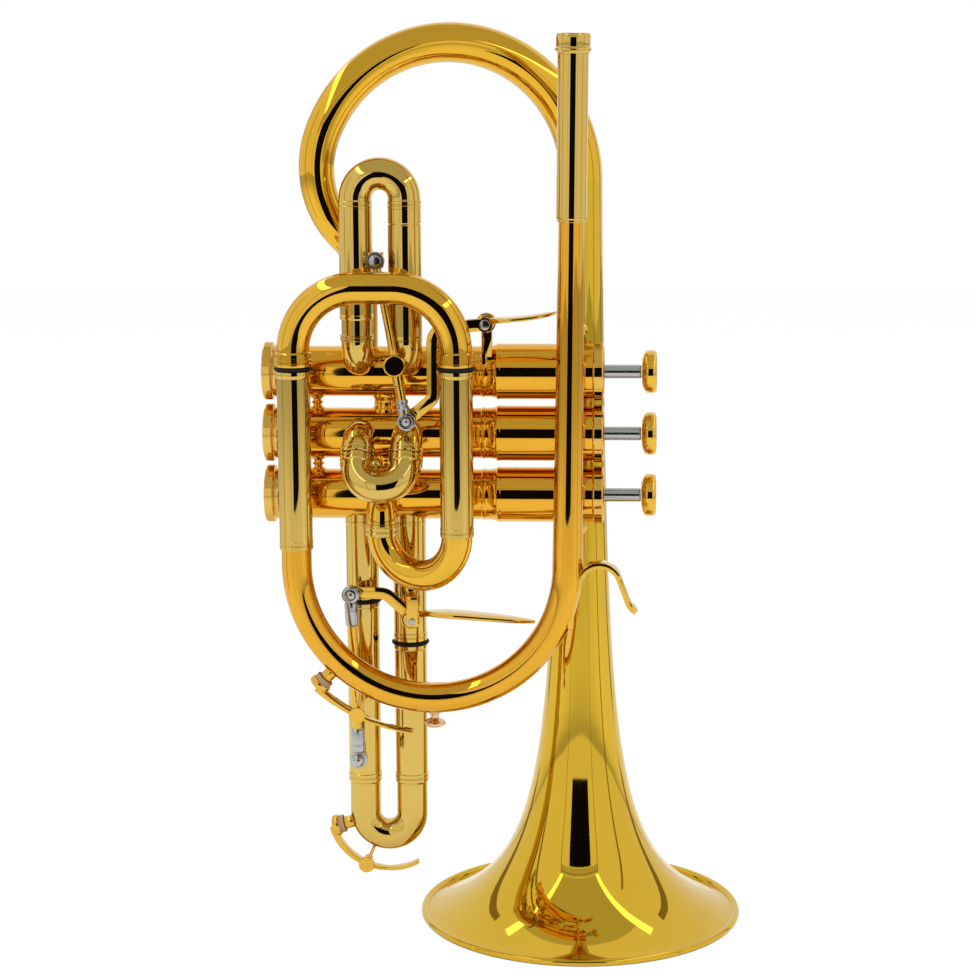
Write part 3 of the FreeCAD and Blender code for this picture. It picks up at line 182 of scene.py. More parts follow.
class Drawn:
    """A piece that grows ring by ring, as a tube is drawn out and bent or a bar is forged."""

    def __init__(self, name, at, heading, radius, count=48, across=None, section=None):
        bpy.ops.object.select_all(action="DESELECT")
        self.at, self.heading, self.radius = Vector(at) * MM, Vector(heading).normalized(), radius
        self.wide, self.thick = section or (None, None)
        if section:
            bpy.ops.mesh.primitive_plane_add(size=1)
        else:
            bpy.ops.mesh.primitive_circle_add(vertices=count, radius=radius * MM)
        self.piece = bpy.context.object
        self.piece.name = self.piece.data.name = name
        if section:
            self.piece.scale = (section[0] * MM, section[1] * MM, 1)
        side = Vector(across) if across else self.heading.orthogonal().normalized()
        other = self.heading.cross(side).normalized()
        self.piece.rotation_euler = Matrix((side, other, self.heading)).transposed().to_euler()
        self.piece.location = self.at
        bpy.ops.object.transform_apply(location=True, rotation=True, scale=True)
        bpy.ops.object.mode_set(mode="EDIT")
        bpy.ops.mesh.select_all(action="SELECT")
        if section:
            bpy.ops.mesh.delete(type="ONLY_FACE")
            bpy.ops.mesh.select_all(action="SELECT")

    def size(self, radius):
        if radius is not None and abs(radius - self.radius) > 1e-9:
            share = radius / self.radius
            bpy.ops.transform.resize(value=(share,) * 3, center_override=self.at)
            self.radius = radius
        return self

    def broad(self, wide, thick=None):
        """Sets the width of a bar along the depth, and its thickness in the plane that it bends in."""
        thick = thick or self.thick
        share = thick / self.thick
        bpy.ops.transform.resize(value=(share, wide / self.wide, share), center_override=self.at)
        self.wide, self.thick = wide, thick
        return self

    def by(self, step):
        step = Vector(step) * MM
        bpy.ops.mesh.extrude_region_move(TRANSFORM_OT_translate={"value": step})
        self.at = self.at + step
        return self

    def to(self, length, radius=None):
        """One straight stretch; a long one gets a ring close to each end, so that it stays straight."""
        steady = radius is None or abs(radius - self.radius) < 0.01
        if steady and abs(length) > 4:
            close = math.copysign(0.3, length)
            self.by(self.heading * close).by(self.heading * (length - 2 * close))
            length = close
        return self.by(self.heading * length).size(radius)

    def along(self, places):
        """Rings at distances along one straight stretch, from where the piece now ends."""
        done = 0.0
        for distance, radius in places:
            self.to(distance - done, radius)
            done = distance
        return self

    def bend(self, towards, bend_radius, degrees, steps=None, radius=None):
        """Turns the heading towards a side, round a centre on that side."""
        towards = Vector(towards).normalized()
        centre = self.at + towards * bend_radius * MM
        axis = self.heading.cross(towards).normalized()
        steps = steps or max(4, round(abs(degrees) / 4))
        turn = Quaternion(axis, math.radians(degrees))
        if radius is None:
            bpy.ops.mesh.spin(steps=steps, angle=-math.radians(degrees), center=centre, axis=axis)
            self.at = centre + turn @ (self.at - centre)
        else:
            start, part = self.radius, Quaternion(axis, math.radians(degrees) / steps)
            for step in range(1, steps + 1):
                bpy.ops.mesh.spin(steps=1, angle=-math.radians(degrees) / steps, center=centre, axis=axis)
                self.at = centre + part @ (self.at - centre)
                self.size(start + (radius - start) * step / steps)
        self.heading = turn @ self.heading
        return self

    def done(self, edge=0.0, angle=35):
        """Closes the ends, turns the faces outward and breaks the sharp edges."""
        bpy.ops.mesh.select_all(action="SELECT")
        bpy.ops.mesh.remove_doubles(threshold=1e-7)
        bpy.ops.mesh.select_all(action="SELECT")
        bpy.ops.mesh.fill_holes(sides=0)
        bpy.ops.mesh.select_all(action="SELECT")
        bpy.ops.mesh.normals_make_consistent(inside=False)
        bpy.ops.object.mode_set(mode="OBJECT")
        if edge:
            rounding = self.piece.modifiers.new("broken_edges", "BEVEL")
            rounding.width, rounding.segments, rounding.limit_method = edge * MM, 2, "ANGLE"
            rounding.angle_limit = math.radians(38)
            bpy.ops.object.modifier_apply(modifier="broken_edges")
        bpy.ops.object.shade_smooth_by_angle(angle=math.radians(24 if edge else angle))
        return self.piece


def metal(name, tint, shade, roughness, coat=0.12, wave=0.014, grain=0.15):
    """Buffed metal under clear lacquer: faint cloudiness, hand-buffing waves and fine hairlines."""
    material = bpy.data.materials.new(name)
    material.use_nodes = True
    material.node_tree.nodes.clear()
    start = Flow(material.node_tree)
    place = start.node("ShaderNodeTexCoord", out="Object")
    cloud = start.node("ShaderNodeTexNoise", None, {"Vector": place, "Scale": 26.0, "Detail": 3.0})
    fine = start.node("ShaderNodeTexNoise", None, {"Vector": place, "Scale": 420.0, "Detail": 4.0})
    colour = start.node("ShaderNodeMix", {"data_type": "RGBA"},
                        {0: cloud, 6: (*tint, 1), 7: (*shade, 1)}, out=2)
    rough = roughness + cloud * 0.012 + fine * 0.012
    ripple = start.node("ShaderNodeTexNoise", None, {"Vector": place, "Scale": 70.0, "Detail": 1.0})
    height = ripple + fine * grain * 0.1
    bump = start.node("ShaderNodeBump", None, {"Strength": wave, "Distance": 0.002, "Height": height})
    skin = start.node("ShaderNodeBsdfPrincipled", None, {
        "Base Color": colour, "Metallic": 1.0, "Roughness": rough, "Normal": bump,
        "Coat Weight": coat, "Coat Roughness": 0.03, "IOR": 1.5})
    start.node("ShaderNodeOutputMaterial", None, {"Surface": skin})
    return material


def fit(piece, material, body, slot, *nodes):
    """A finished piece: its finish, what it moves with, and the parts of the frame it stands for."""
    piece.data.materials.clear()
    piece.data.materials.append(material)
    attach(piece, body)
    if nodes:
        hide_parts(*nodes)
    return piece


bell_lacquer = metal("bell_lacquer", (0.69, 0.445, 0.034), (0.63, 0.39, 0.026), 0.025, wave=0.02)
tail_top, rim_radius, throat, flare_height, flare_power = 307.0, 67.0, 6.7, 31.6, 1.454
bead_radius, bead_height, wall = 1.5, 1.2, 0.7


def flare(height):
    return throat + (rim_radius - throat) * (flare_height / (height + flare_height)) ** flare_power


stations = 84
growth = ((tail_top + flare_height) / (2.1 + flare_height)) ** (1 / stations)
levels = [(2.1 + flare_height) * growth ** k - flare_height for k in range(stations, -1, -1)]
bell = Drawn("bell_flare", (0, 0, tail_top), DOWN, flare(tail_top), 176)
outside = [(tail_top - z, flare(z)) for z in levels[1:]]
bead = [(tail_top - bead_height - bead_radius * math.sin(math.radians(a)),
         rim_radius - bead_radius + bead_radius * math.cos(math.radians(a)))
        for a in (163, 145, 125, 105, 85, 65, 45, 25, 5, -15, -35, -53)]
foot = [(tail_top, rim_radius - bead_radius - 0.9), (tail_top - 0.5, rim_radius - bead_radius - 1.35)]
inside = [(tail_top - z, flare(z) - wall) for z in reversed(levels[::2])]
bell.along(outside + bead + foot + inside + [(0, flare(tail_top))])
fit(bell.done(angle=30), bell_lacquer, "cornet", "lacquer_yellow", "bell", "bell_rim")

# --- Crook ------------------------------------------------
# The shepherd's crook: a tapering brass tube filled with pitch and bent by hand round a large arc
# and a tighter one, then straightened into the first valve and soldered to the end of the bell.

crook_lacquer = metal("crook_lacquer", (0.78, 0.45, 0.036), (0.72, 0.40, 0.028), 0.02, wave=0.02)
crook_yaw = math.radians(17.07)
outward = Vector((-math.cos(crook_yaw), -math.sin(crook_yaw), 0))
arcs = ((54.2, 160.0, 1), (38.0, 65.0, 1), (20.0, 45.0, -1))
first_valve_height, crook_seat = 232.5, 8.0
crook = Drawn("crook_tube", (0, 0, tail_top), UP, flare(tail_top), 96)
arc_length = sum(radius * math.radians(turn) for radius, turn, side in arcs)
crook_length, gone, crook_start, crook_end = arc_length + 20.0, 0.0, flare(tail_top), 6.35
for bend_radius, turn, side in arcs:
    gone += bend_radius * math.radians(turn)
    inward = crook.heading.cross(outward.cross(UP)) * side
    ends = crook_start + (crook_end - crook_start) * gone / crook_length
    crook.bend(inward, bend_radius, turn, round(turn / 1.6), ends)
crook.along([(crook.at.z / MM - first_valve_height - crook_seat, crook_end)])
fit(crook.done(), crook_lacquer, "cornet", "lacquer_yellow", "bell_crook")

# --- Valve casings ----------------------------------------
# Three barrels of drawn brass, each a narrow lower tube and a wider upper one with a turned band
# where they meet.  They lie across the instrument one above another and are hard-soldered together.

casing_lacquer = metal("casing_lacquer", (0.80, 0.42, 0.034), (0.74, 0.37, 0.026), 0.022, wave=0.012)
valve_pitch = 24.75
valve_heights = tuple(first_valve_height - place * valve_pitch for place in range(3))
valve_depth, valve_end = -27.0, -119.5


def again(piece, name, shift):
    """The same piece once more, with its own mesh, at another place."""
    bpy.ops.object.select_all(action="DESELECT")
    piece.select_set(True)
    bpy.context.view_layer.objects.active = piece
    bpy.ops.object.duplicate(linked=False)
    copy = bpy.context.object
    copy.name = copy.data.name = name
    bpy.ops.transform.translate(value=Vector(shift) * MM)
    bpy.ops.object.transform_apply(location=True, rotation=True, scale=True)
    return copy


def three(piece, stem):
    """The piece made for the first valve, and its copies for the second and the third."""
    piece.name = piece.data.name = f"{stem}_1"
    return [piece] + [again(piece, f"{stem}_{number}", (0, 0, valve_heights[number - 1] - valve_heights[0]))
                      for number in (2, 3)]


casing_bore = 8.4
casing = Drawn("casing", (valve_end, valve_depth, valve_heights[0]), RIGHT, casing_bore, 96)
turned_band = [(80.8, 10.0), (81.1, 10.25), (82.3, 10.3), (82.6, 10.1), (84.6, 10.15), (85.8, 10.4),
               (86.8, 10.8), (87.1, 11.1), (88.3, 11.1), (88.5, 11.0)]
casing.along([(0.001, 9.7), (0.3, 10.0)] + turned_band
             + [(124.9, 11.0), (125.3, 10.7), (125.301, casing_bore), (0, casing_bore)])
for number, piece in enumerate(three(casing.done(angle=30), "casing"), start=1):
    fit(piece, casing_lacquer, "cornet", "lacquer_yellow", f"valve_casing_{number}")

# --- Valve caps -------------------------------------------
# The caps that close each barrel at its ends, turned from brass bar with a straight knurl rolled
# into the rim so that fingers can unscrew them.

cap_lacquer = metal("cap_lacquer", (0.76, 0.47, 0.10), (0.68, 0.40, 0.07), 0.05, wave=0.010)
knurls, knurled_from, knurl_depth = 64, 10.9, 0.958


def knurled(piece, start_x, end_x, axis_depth, axis_height):
    """Presses every second line of a round rim inward, between two places along the axis."""
    for vertex in piece.data.vertices:
        across, up = vertex.co.y - axis_depth * MM, vertex.co.z - axis_height * MM
        turn = math.atan2(up, across)
        step = round(turn / math.pi * knurls)
        on_line = abs(turn - step * math.pi / knurls) < 0.002
        vertex.select = (on_line and step % 2 == 0 and start_x * MM < vertex.co.x < end_x * MM
                         and math.hypot(up, across) > knurled_from * MM)
    bpy.ops.object.mode_set(mode="EDIT")
    bpy.ops.transform.resize(value=(1, knurl_depth, knurl_depth),
                             center_override=(0, axis_depth * MM, axis_height * MM))
    bpy.ops.object.mode_set(mode="OBJECT")


def rim(name, at, heading, outline):
    """A cap turned to an outline, with two lines round it for each knurl and nothing left selected."""
    cap = Drawn(name, at, heading, outline[0][1], 2 * knurls, across=BACK)
    bpy.ops.mesh.select_mode(type="VERT")
    cap.along(outline[1:])
    piece = cap.done(angle=24)
    bpy.ops.object.select_all(action="DESELECT")
    piece.select_set(True)
    for face in piece.data.polygons:
        face.select = False
    for line in piece.data.edges:
        line.select = False
    return piece


lower_x = -115.5
lower = rim("bottom_cap", (lower_x, valve_depth, valve_heights[0]), LEFT,
            [(0, 7.0), (0.001, 8.3), (4.0, 8.3), (4.001, 10.1), (4.3, 10.4), (5.2, 10.4), (5.4, 10.1),
             (5.7, 10.1), (6.0, 10.6), (6.3, 11.1), (6.6, 11.4), (9.4, 11.4), (9.8, 11.0), (9.801, 6.8),
             (9.0, 6.0), (9.0, 2.2), (9.6, 1.8), (9.6, 0.4)])
knurled(lower, lower_x - 9.6, lower_x - 6.4, valve_depth, valve_heights[0])
lower_caps = three(lower, "bottom_cap")
for piece in lower_caps:
    fit(piece, cap_lacquer, "cornet", "lacquer_yellow")
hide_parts("bottom_caps")

upper_x = 1.8
upper = rim("top_cap", (upper_x, valve_depth, valve_heights[0]), RIGHT,
            [(0, 3.0), (0.001, 8.3), (4.0, 8.3), (4.001, 11.0), (4.3, 11.4), (7.3, 11.4), (7.7, 11.0),
             (8.2, 9.9), (8.2, 7.2), (7.7, 6.6), (7.7, 4.6), (8.2, 4.1), (8.2, 3.0), (0, 3.0)])
knurled(upper, upper_x + 4.1, upper_x + 7.5, valve_depth, valve_heights[0])
upper_caps = three(upper, "top_cap")
for piece in upper_caps:
    fit(piece, cap_lacquer, "cornet", "lacquer_yellow")
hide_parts("top_caps")

# --- Pistons and finger buttons ---------------------------
# Monel pistons on steel springs, lapped into the casings, each with a silver-plated stem through
# its cap and a turned brass button with a shallow dish for the fingertip.  Felt rings under the caps.


def dress(node, material):
    """Gives a part that keeps the frame's own shape its finish."""
    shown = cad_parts[node]
    shown.data.materials.clear()
    shown.data.materials.append(material)


def rough_stuff(name, tint, shade, roughness, scale, height, shine=0.5):
    """A dull material: mottled colour and a fine tooth."""
    material = bpy.data.materials.new(name)
    material.use_nodes = True
    material.node_tree.nodes.clear()
    start = Flow(material.node_tree)
    place = start.node("ShaderNodeTexCoord", out="Object")
    speckle = start.node("ShaderNodeTexNoise", None, {"Vector": place, "Scale": scale, "Detail": 5.0})
    colour = start.node("ShaderNodeMix", {"data_type": "RGBA"},
                        {0: speckle, 6: (*tint, 1), 7: (*shade, 1)}, out=2)
    bump = start.node("ShaderNodeBump", None, {"Strength": height, "Distance": 0.0004, "Height": speckle})
    skin = start.node("ShaderNodeBsdfPrincipled", None, {
        "Base Color": colour, "Specular IOR Level": shine, "Roughness": roughness + speckle * 0.1,
        "Normal": bump})
    start.node("ShaderNodeOutputMaterial", None, {"Surface": skin})
    return material


silver_plate = metal("silver_plate", (0.50, 0.50, 0.50), (0.40, 0.40, 0.41), 0.16, coat=0.0, wave=0.015)
monel = metal("lapped_monel", (0.62, 0.60, 0.55), (0.52, 0.50, 0.46), 0.22, coat=0.0, wave=0.01, grain=0.6)
spring_wire = metal("spring_wire", (0.52, 0.52, 0.53), (0.42, 0.42, 0.43), 0.25, coat=0.0, grain=0.8)
wool_felt = rough_stuff("wool_felt", (0.62, 0.60, 0.55), (0.45, 0.43, 0.39), 0.88, 900.0, 0.5)
button_lacquer = metal("button_lacquer", (0.80, 0.49, 0.06), (0.72, 0.42, 0.04), 0.025, wave=0.015)
for number in (1, 2, 3):
    dress(f"piston_{number}", monel)
dress("valve_springs", spring_wire)
dress("cap_felts", wool_felt)

stem = Drawn("stem", (-5.0, valve_depth, valve_heights[0]), RIGHT, 2.2, 48)
stem.along([(0.6, 2.75), (29.0, 2.75), (29.6, 2.5)])
for number, piece in enumerate(three(stem.done(angle=30), "stem_rod"), start=1):
    fit(piece, silver_plate, f"valve_{number}", "silver", f"valve_stem_{number}")

button = Drawn("button", (24.8, valve_depth, valve_heights[0]), RIGHT, 3.6, 80)
edge_of_button = [(0.001, 5.0), (0.5, 6.4), (1.0, 7.5), (1.5, 8.1), (2.1, 8.42), (2.8, 8.5), (4.3, 8.5),
                  (4.9, 8.36), (5.4, 8.05), (5.75, 7.6), (5.9, 7.0)]
dish = [(5.8, 6.4), (5.55, 5.2), (5.35, 3.6), (5.25, 1.8), (5.22, 0.4)]
button.along(edge_of_button + dish)
for number, piece in enumerate(three(button.done(angle=40), "dished_button"), start=1):
    fit(piece, button_lacquer, f"valve_{number}", "lacquer_yellow", f"finger_button_{number}")

# --- Knuckles and webs ------------------------------------
# Short struts turned from brass bar and hard-soldered between the barrels: thick knuckles that the
# wind passes through, and slim balusters near the lower caps that keep the barrels parallel.

knuckle = Drawn("knuckle", (-76.85, valve_depth, valve_heights[0] - 8.6), DOWN, 5.6, 56)
knuckle.along([(1.0, 5.6), (1.7, 5.3), (2.2, 4.9), (3.0, 4.7), (4.5, 4.7), (5.3, 4.9), (5.8, 5.3),
               (6.6, 5.6), (7.6, 5.6)])
knuckle_piece = knuckle.done(angle=30)
knuckle_piece.name = knuckle_piece.data.name = "knuckle_upper"
fit(knuckle_piece, casing_lacquer, "cornet", "lacquer_yellow", "valve_knuckles")
fit(again(knuckle_piece, "knuckle_lower", (0, 0, -valve_pitch)), casing_lacquer, "cornet", "lacquer_yellow")

web = Drawn("web", (-104.5, valve_depth, valve_heights[0] - 9.6), DOWN, 3.2, 40)
web.along([(0.5, 3.2), (1.0, 2.4), (1.5, 1.7), (2.0, 1.6), (2.4, 2.1), (2.8, 2.5), (3.2, 2.1),
           (3.6, 1.6), (4.1, 1.7), (4.6, 2.4), (5.1, 3.2), (5.6, 3.2)])
web_piece = web.done(angle=30)
web_piece.name = web_piece.data.name = "web_upper"
fit(web_piece, casing_lacquer, "cornet", "lacquer_yellow", "casing_webs")
fit(again(web_piece, "web_lower", (0, 0, -valve_pitch)), casing_lacquer, "cornet", "lacquer_yellow")

# --- Leadpipe and receiver --------------------------------
# A tapered pipe of red brass drawn on a steel mandrel, lacquered over its warmer colour.  The
# mouthpiece receiver is turned from yellow brass and soldered over its upper end.

red_lacquer = metal("red_brass_lacquer", (0.78, 0.41, 0.035), (0.70, 0.355, 0.027), 0.02, wave=0.012)
# The lacquered yellow brass of the sleeves, ferrules, receiver and slide tubes is painted with a paler khaki tint
# than the casings. This is a painted reflection: it copies the dimmer, cooler light of the tent's sides as the
# lacquer mirrors it, not a colour of the brass.
painted_side_light_lacquer = metal("painted_side_light_lacquer", (0.68, 0.47, 0.115), (0.61, 0.41, 0.085), 0.02, wave=0.010)
bow_lacquer = metal("bow_lacquer", (0.77, 0.45, 0.045), (0.71, 0.40, 0.034), 0.02, wave=0.012)
pipe_line = Vector((0.010821, 0, 0.999941))
pipe_x, pipe_depth, bow_height = -3.8, -58.0, 159.9
leadpipe = Drawn("leadpipe_tube", (pipe_x, pipe_depth, bow_height), pipe_line, 5.9, 72)
pipe_length, pipe_rings = 133.41, 20
leadpipe.along([(pipe_length * k / pipe_rings, 5.9 - k / pipe_rings) for k in range(1, pipe_rings + 1)])
fit(leadpipe.done(), red_lacquer, "cornet", "lacquer_red", "leadpipe")

receiver = Drawn("receiver", (-2.356, pipe_depth, 293.3), pipe_line, 4.9, 72)
beaded_collar = [(62.8, 5.85), (63.4, 6.1), (63.9, 6.6), (64.0, 6.8), (64.3, 6.9), (64.7, 6.9), (65.0, 6.75),
                 (65.3, 6.45), (65.7, 6.4), (66.1, 6.5), (69.5, 6.55), (70.1, 6.4), (70.4, 6.0)]
receiver.along([(0.001, 5.35), (0.2, 5.5), (0.9, 5.5), (1.1, 5.72), (1.4, 5.85)] + beaded_collar
               + [(70.4, 5.1), (69.9, 4.85), (48.4, 4.85), (48.4, 0.3)])
fit(receiver.done(angle=30), painted_side_light_lacquer, "cornet", "lacquer_yellow", "mouthpiece_receiver")

# --- Bow of the leadpipe ----------------------------------
# A half-circle of red brass tube, bent on a former and soldered to the leadpipe's foot, that carries
# the wind up into the tuning slide.

lead_bow_radius = 52.9
lead_bow = Drawn("lead_bow_tube", (pipe_x, pipe_depth, bow_height), DOWN, 5.9, 64)
lead_bow.bend(LEFT, lead_bow_radius, 180, 60)
lead_bow.along([(6.6, 5.9)])
fit(lead_bow.done(), red_lacquer, "cornet", "lacquer_red", "lead_bow")

# --- Tuning slide -----------------------------------------
# Two straight yellow-brass sleeves with a rolled collar, and the slide that runs in them on grease:
# inner tubes, turned ferrules and a bow, soldered together and stopped by two black rubber rings.

tuning_left, tuning_right, sleeve_top = -109.6, -46.65, 236.5


def sleeve(name, x, foot):
    """A sleeve of the tuning slide, with two fine lines at its foot and a collar at its top."""
    tube = Drawn(name, (x, pipe_depth, foot), UP, 6.05, 64)
    length = sleeve_top - foot
    lined_foot = [(0.001, 6.5), (0.2, 6.62), (1.5, 6.62), (1.65, 6.45), (1.95, 6.45), (2.1, 6.62), (3.3, 6.62),
                  (3.5, 6.5)]
    rolled_collar = [(2.9, 6.5), (2.6, 6.75), (2.0, 6.95), (1.0, 7.0), (0.3, 6.85), (0, 6.5), (0, 6.03)]
    tube.along(lined_foot + [(length - back, radius) for back, radius in rolled_collar])
    return tube.along([(-20, 6.03), (-20, 0.4)]).done(angle=30)


right_foot = 171.7
fit(sleeve("tuning_sleeve_tube_left", tuning_left, 166.5), painted_side_light_lacquer, "cornet", "lacquer_yellow",
    "tuning_sleeve_left")
fit(sleeve("tuning_sleeve_tube_right", tuning_right, right_foot), painted_side_light_lacquer, "cornet", "lacquer_yellow",
    "tuning_sleeve_right")

black_rubber = rough_stuff("black_rubber", (0.006, 0.006, 0.006), (0.012, 0.011, 0.010), 0.5, 500.0, 0.1,
                           shine=0.12)


def rubber_ring(name, centre, major, minor):
    """A rubber ring round a tube, slightly flattened by the collars that it stops."""
    bpy.ops.object.select_all(action="DESELECT")
    bpy.ops.mesh.primitive_torus_add(major_segments=56, minor_segments=16, major_radius=major * MM,
                                     minor_radius=minor * MM, location=Vector(centre) * MM)
    bpy.ops.object.transform_apply(location=True, rotation=True, scale=True)
    bpy.ops.object.mode_set(mode="EDIT")
    bpy.ops.transform.resize(value=(1, 1, 0.94), center_override=Vector(centre) * MM)
    bpy.ops.object.mode_set(mode="OBJECT")
    bpy.ops.object.shade_smooth()
    made = bpy.context.object
    made.name = made.data.name = name
    return made


ring_thick = 0.8
ring_height = sleeve_top + ring_thick
left_ring = rubber_ring("tuning_stop_left", (tuning_left, pipe_depth, ring_height), 6.75, ring_thick)
fit(left_ring, black_rubber, "tuning", "black_rubber", "tuning_bumpers")
right_ring = rubber_ring("tuning_stop_right", (tuning_right, pipe_depth, ring_height), 6.75, ring_thick)
fit(right_ring, black_rubber, "tuning", "black_rubber")

tuning = Drawn("tuning_slide_bow", (tuning_left, pipe_depth, 184.0), UP, 5.95, 64)
ferrule = [(0.001, 6.9), (0.3, 7.0), (1.2, 7.0), (1.4, 6.75), (1.7, 6.75), (1.9, 7.0), (2.7, 7.0),
           (2.9, 6.75), (3.2, 6.75), (3.4, 6.9), (5.0, 6.9), (5.3, 6.7), (5.6, 6.3)]
inner_length, corner = 54.1, 24.3
tuning.along([(inner_length, 5.95)] + [(inner_length + d, r) for d, r in ferrule] + [(59.9, 6.3)])
tuning.bend(RIGHT, corner, 90, 26).to(tuning_right - tuning_left - 2 * corner).bend(DOWN, corner, 90, 26)
tuning.along([(0.2, 6.3)] + [(5.8 - d, r) for d, r in reversed(ferrule)] + [(5.8, 5.95), (59.9, 5.95)])
fit(tuning.done(angle=30), bow_lacquer, "tuning", "lacquer_red", "tuning_slide")

# --- Bow into the third valve -----------------------------
# A small bow of drawn brass tube from the tuning slide's right leg round and up to the third valve,
# soldered under a turned ferrule with two fine lines.

inlet = Drawn("inlet_bow_tube", (tuning_right, pipe_depth, right_foot), DOWN, 6.1, 56)
across_bow = Vector((-30.95, 14.9, 0))
inlet.bend(across_bow, 17.175, 180, 36)
inlet.to(3.3).bend(BACK, 8.0, 90, 12).to(4)
fit(inlet.done(), bow_lacquer, "cornet", "lacquer_yellow", "inlet_bow")
collar = Drawn("inlet_bow_ferrule", (-77.6, -43.1, 169.2), UP, 6.1, 56)
collar.along([(0.001, 6.4), (0.3, 6.65), (1.6, 6.65), (1.8, 6.45), (2.2, 6.45), (2.4, 6.6), (3.6, 6.6),
              (3.8, 6.45), (4.1, 6.45), (4.3, 6.6), (4.8, 6.5), (5.0, 6.1)])
fit(collar.done(angle=30), painted_side_light_lacquer, "cornet", "lacquer_yellow")

# --- First slide ------------------------------------------
# The first valve's slide stands in front of the barrels and is drawn from brass tube.  Two elbows are
# soldered to the valve, with an inner tube on the left and a sleeve on the right, and a small bow
# with its own sleeve and inner tube slides over them.

first_depth, left_x, right_x, first_height, bow_turn = -43.5, -86.4, -67.3, 238.0, 9.55
elbow = Drawn("first_elbow_left", (left_x, valve_depth, first_height), FRONT, 6.1, 56)
elbow.to(8.0).bend(UP, 8.5, 90, 12)
elbow.along([(0.1, 6.1), (0.2, 6.4), (0.4, 6.55), (1.0, 6.55), (1.2, 6.4), (1.5, 6.4), (1.7, 6.55),
             (2.2, 6.55), (2.4, 6.4), (2.41, 5.95), (46.5, 5.95)])
fit(elbow.done(angle=30), painted_side_light_lacquer, "cornet", "lacquer_yellow", "first_fixed_tube")
elbow = Drawn("first_elbow_right", (right_x, valve_depth, first_height), FRONT, 6.4, 56)
elbow.to(8.0).bend(UP, 8.5, 90, 12)
elbow.along([(0.4, 6.4), (0.6, 6.6), (1.6, 6.6), (1.8, 6.5), (44.9, 6.5), (45.2, 6.4), (45.3, 6.03)])
fit(elbow.done(angle=30), painted_side_light_lacquer, "cornet", "lacquer_yellow", "first_fixed_sleeve")

first = Drawn("first_slide_bow", (left_x, first_depth, 254.9), UP, 6.03, 56)
first.along([(0.001, 6.5), (0.2, 6.6), (1.6, 6.6), (1.8, 6.5), (42.9, 6.5), (43.0, 6.62), (43.9, 6.62),
             (44.1, 6.45), (44.5, 6.45), (44.7, 6.62), (45.7, 6.62), (45.9, 6.45), (46.2, 6.4), (46.7, 6.3)])
first.bend(RIGHT, bow_turn, 180, 36)
first.along([(0.4, 6.4), (0.8, 6.45), (1.0, 6.62), (2.0, 6.62), (2.2, 6.45), (2.6, 6.45), (2.8, 6.62),
             (3.7, 6.62), (3.9, 6.5), (9.3, 6.5), (9.5, 6.4), (9.5, 5.95), (50.6, 5.95)])
fit(first.done(angle=30), painted_side_light_lacquer, "first_slide", "lacquer_yellow", "first_slide")

# --- Second slide -----------------------------------------
# A very short slide of brass tube that leans down and forward out of the second valve.  Its elbows
# and its bow end in double-lined ferrules, and a turned finial is soldered on to pull it by.

second_down = Vector((0, -0.6157, -0.7880))
for name, x in (("second_elbow_left", left_x), ("second_elbow_right", right_x)):
    elbow = Drawn(name, (x, valve_depth, valve_heights[1]), FRONT, 6.3, 56)
    elbow.to(11.5).bend(DOWN, 9.0, 52, 12)
    elbow.along([(0.3, 6.3), (0.5, 6.75), (1.7, 6.75), (1.9, 6.5), (2.2, 6.5), (2.4, 6.75), (3.7, 6.75),
                 (4.0, 6.5), (4.0, 6.03)])
    fit(elbow.done(angle=30), painted_side_light_lacquer, "cornet", "lacquer_yellow",
        *(("second_fixed_sleeves",) if x == left_x else ()))
second_face = Vector((left_x, -45.592, 204.291)) + second_down * 4.3
second = Drawn("second_slide_bow", second_face - second_down * 3.0, second_down, 5.95, 56)
leg = 6.6
rings = [(3.0, 5.95), (3.001, 6.5), (3.3, 6.8), (4.3, 6.8), (4.5, 6.5), (4.8, 6.5), (5.0, 6.75), (6.1, 6.75),
         (6.3, 6.4), (leg, 6.3)]
second.along(rings)
second.bend(RIGHT, bow_turn, 180, 36)
second.along([(leg - distance, radius) for distance, radius in reversed(rings)] + [(leg, 5.95)])
fit(second.done(angle=30), painted_side_light_lacquer, "second_slide", "lacquer_yellow", "second_slide")
second_root = Vector((-79.0, -50.456, 198.066)) + second_down * 3.4
finial = Drawn("second_slide_finial", second_root, second_down * -1, 2.3, 40)
finial.along([(0.4, 2.1), (0.9, 1.4), (1.6, 1.3), (1.9, 1.8), (2.1, 2.4), (2.6, 2.9), (3.3, 3.05), (4.2, 3.0),
              (5.0, 2.6), (5.5, 1.9), (5.7, 1.5), (6.0, 1.5), (6.5, 1.3), (6.8, 0.8), (6.9, 0.2)])
fit(finial.done(), painted_side_light_lacquer, "second_slide", "lacquer_yellow", "second_slide_knob")

# --- Third slide ------------------------------------------
# The longest slide, straight down from the third valve, all of drawn brass tube: two fixed sleeves,
# inner tubes that show as it is pushed out, and the sliding pair with its bow, soldered together
# and stopped by two rubber rings.

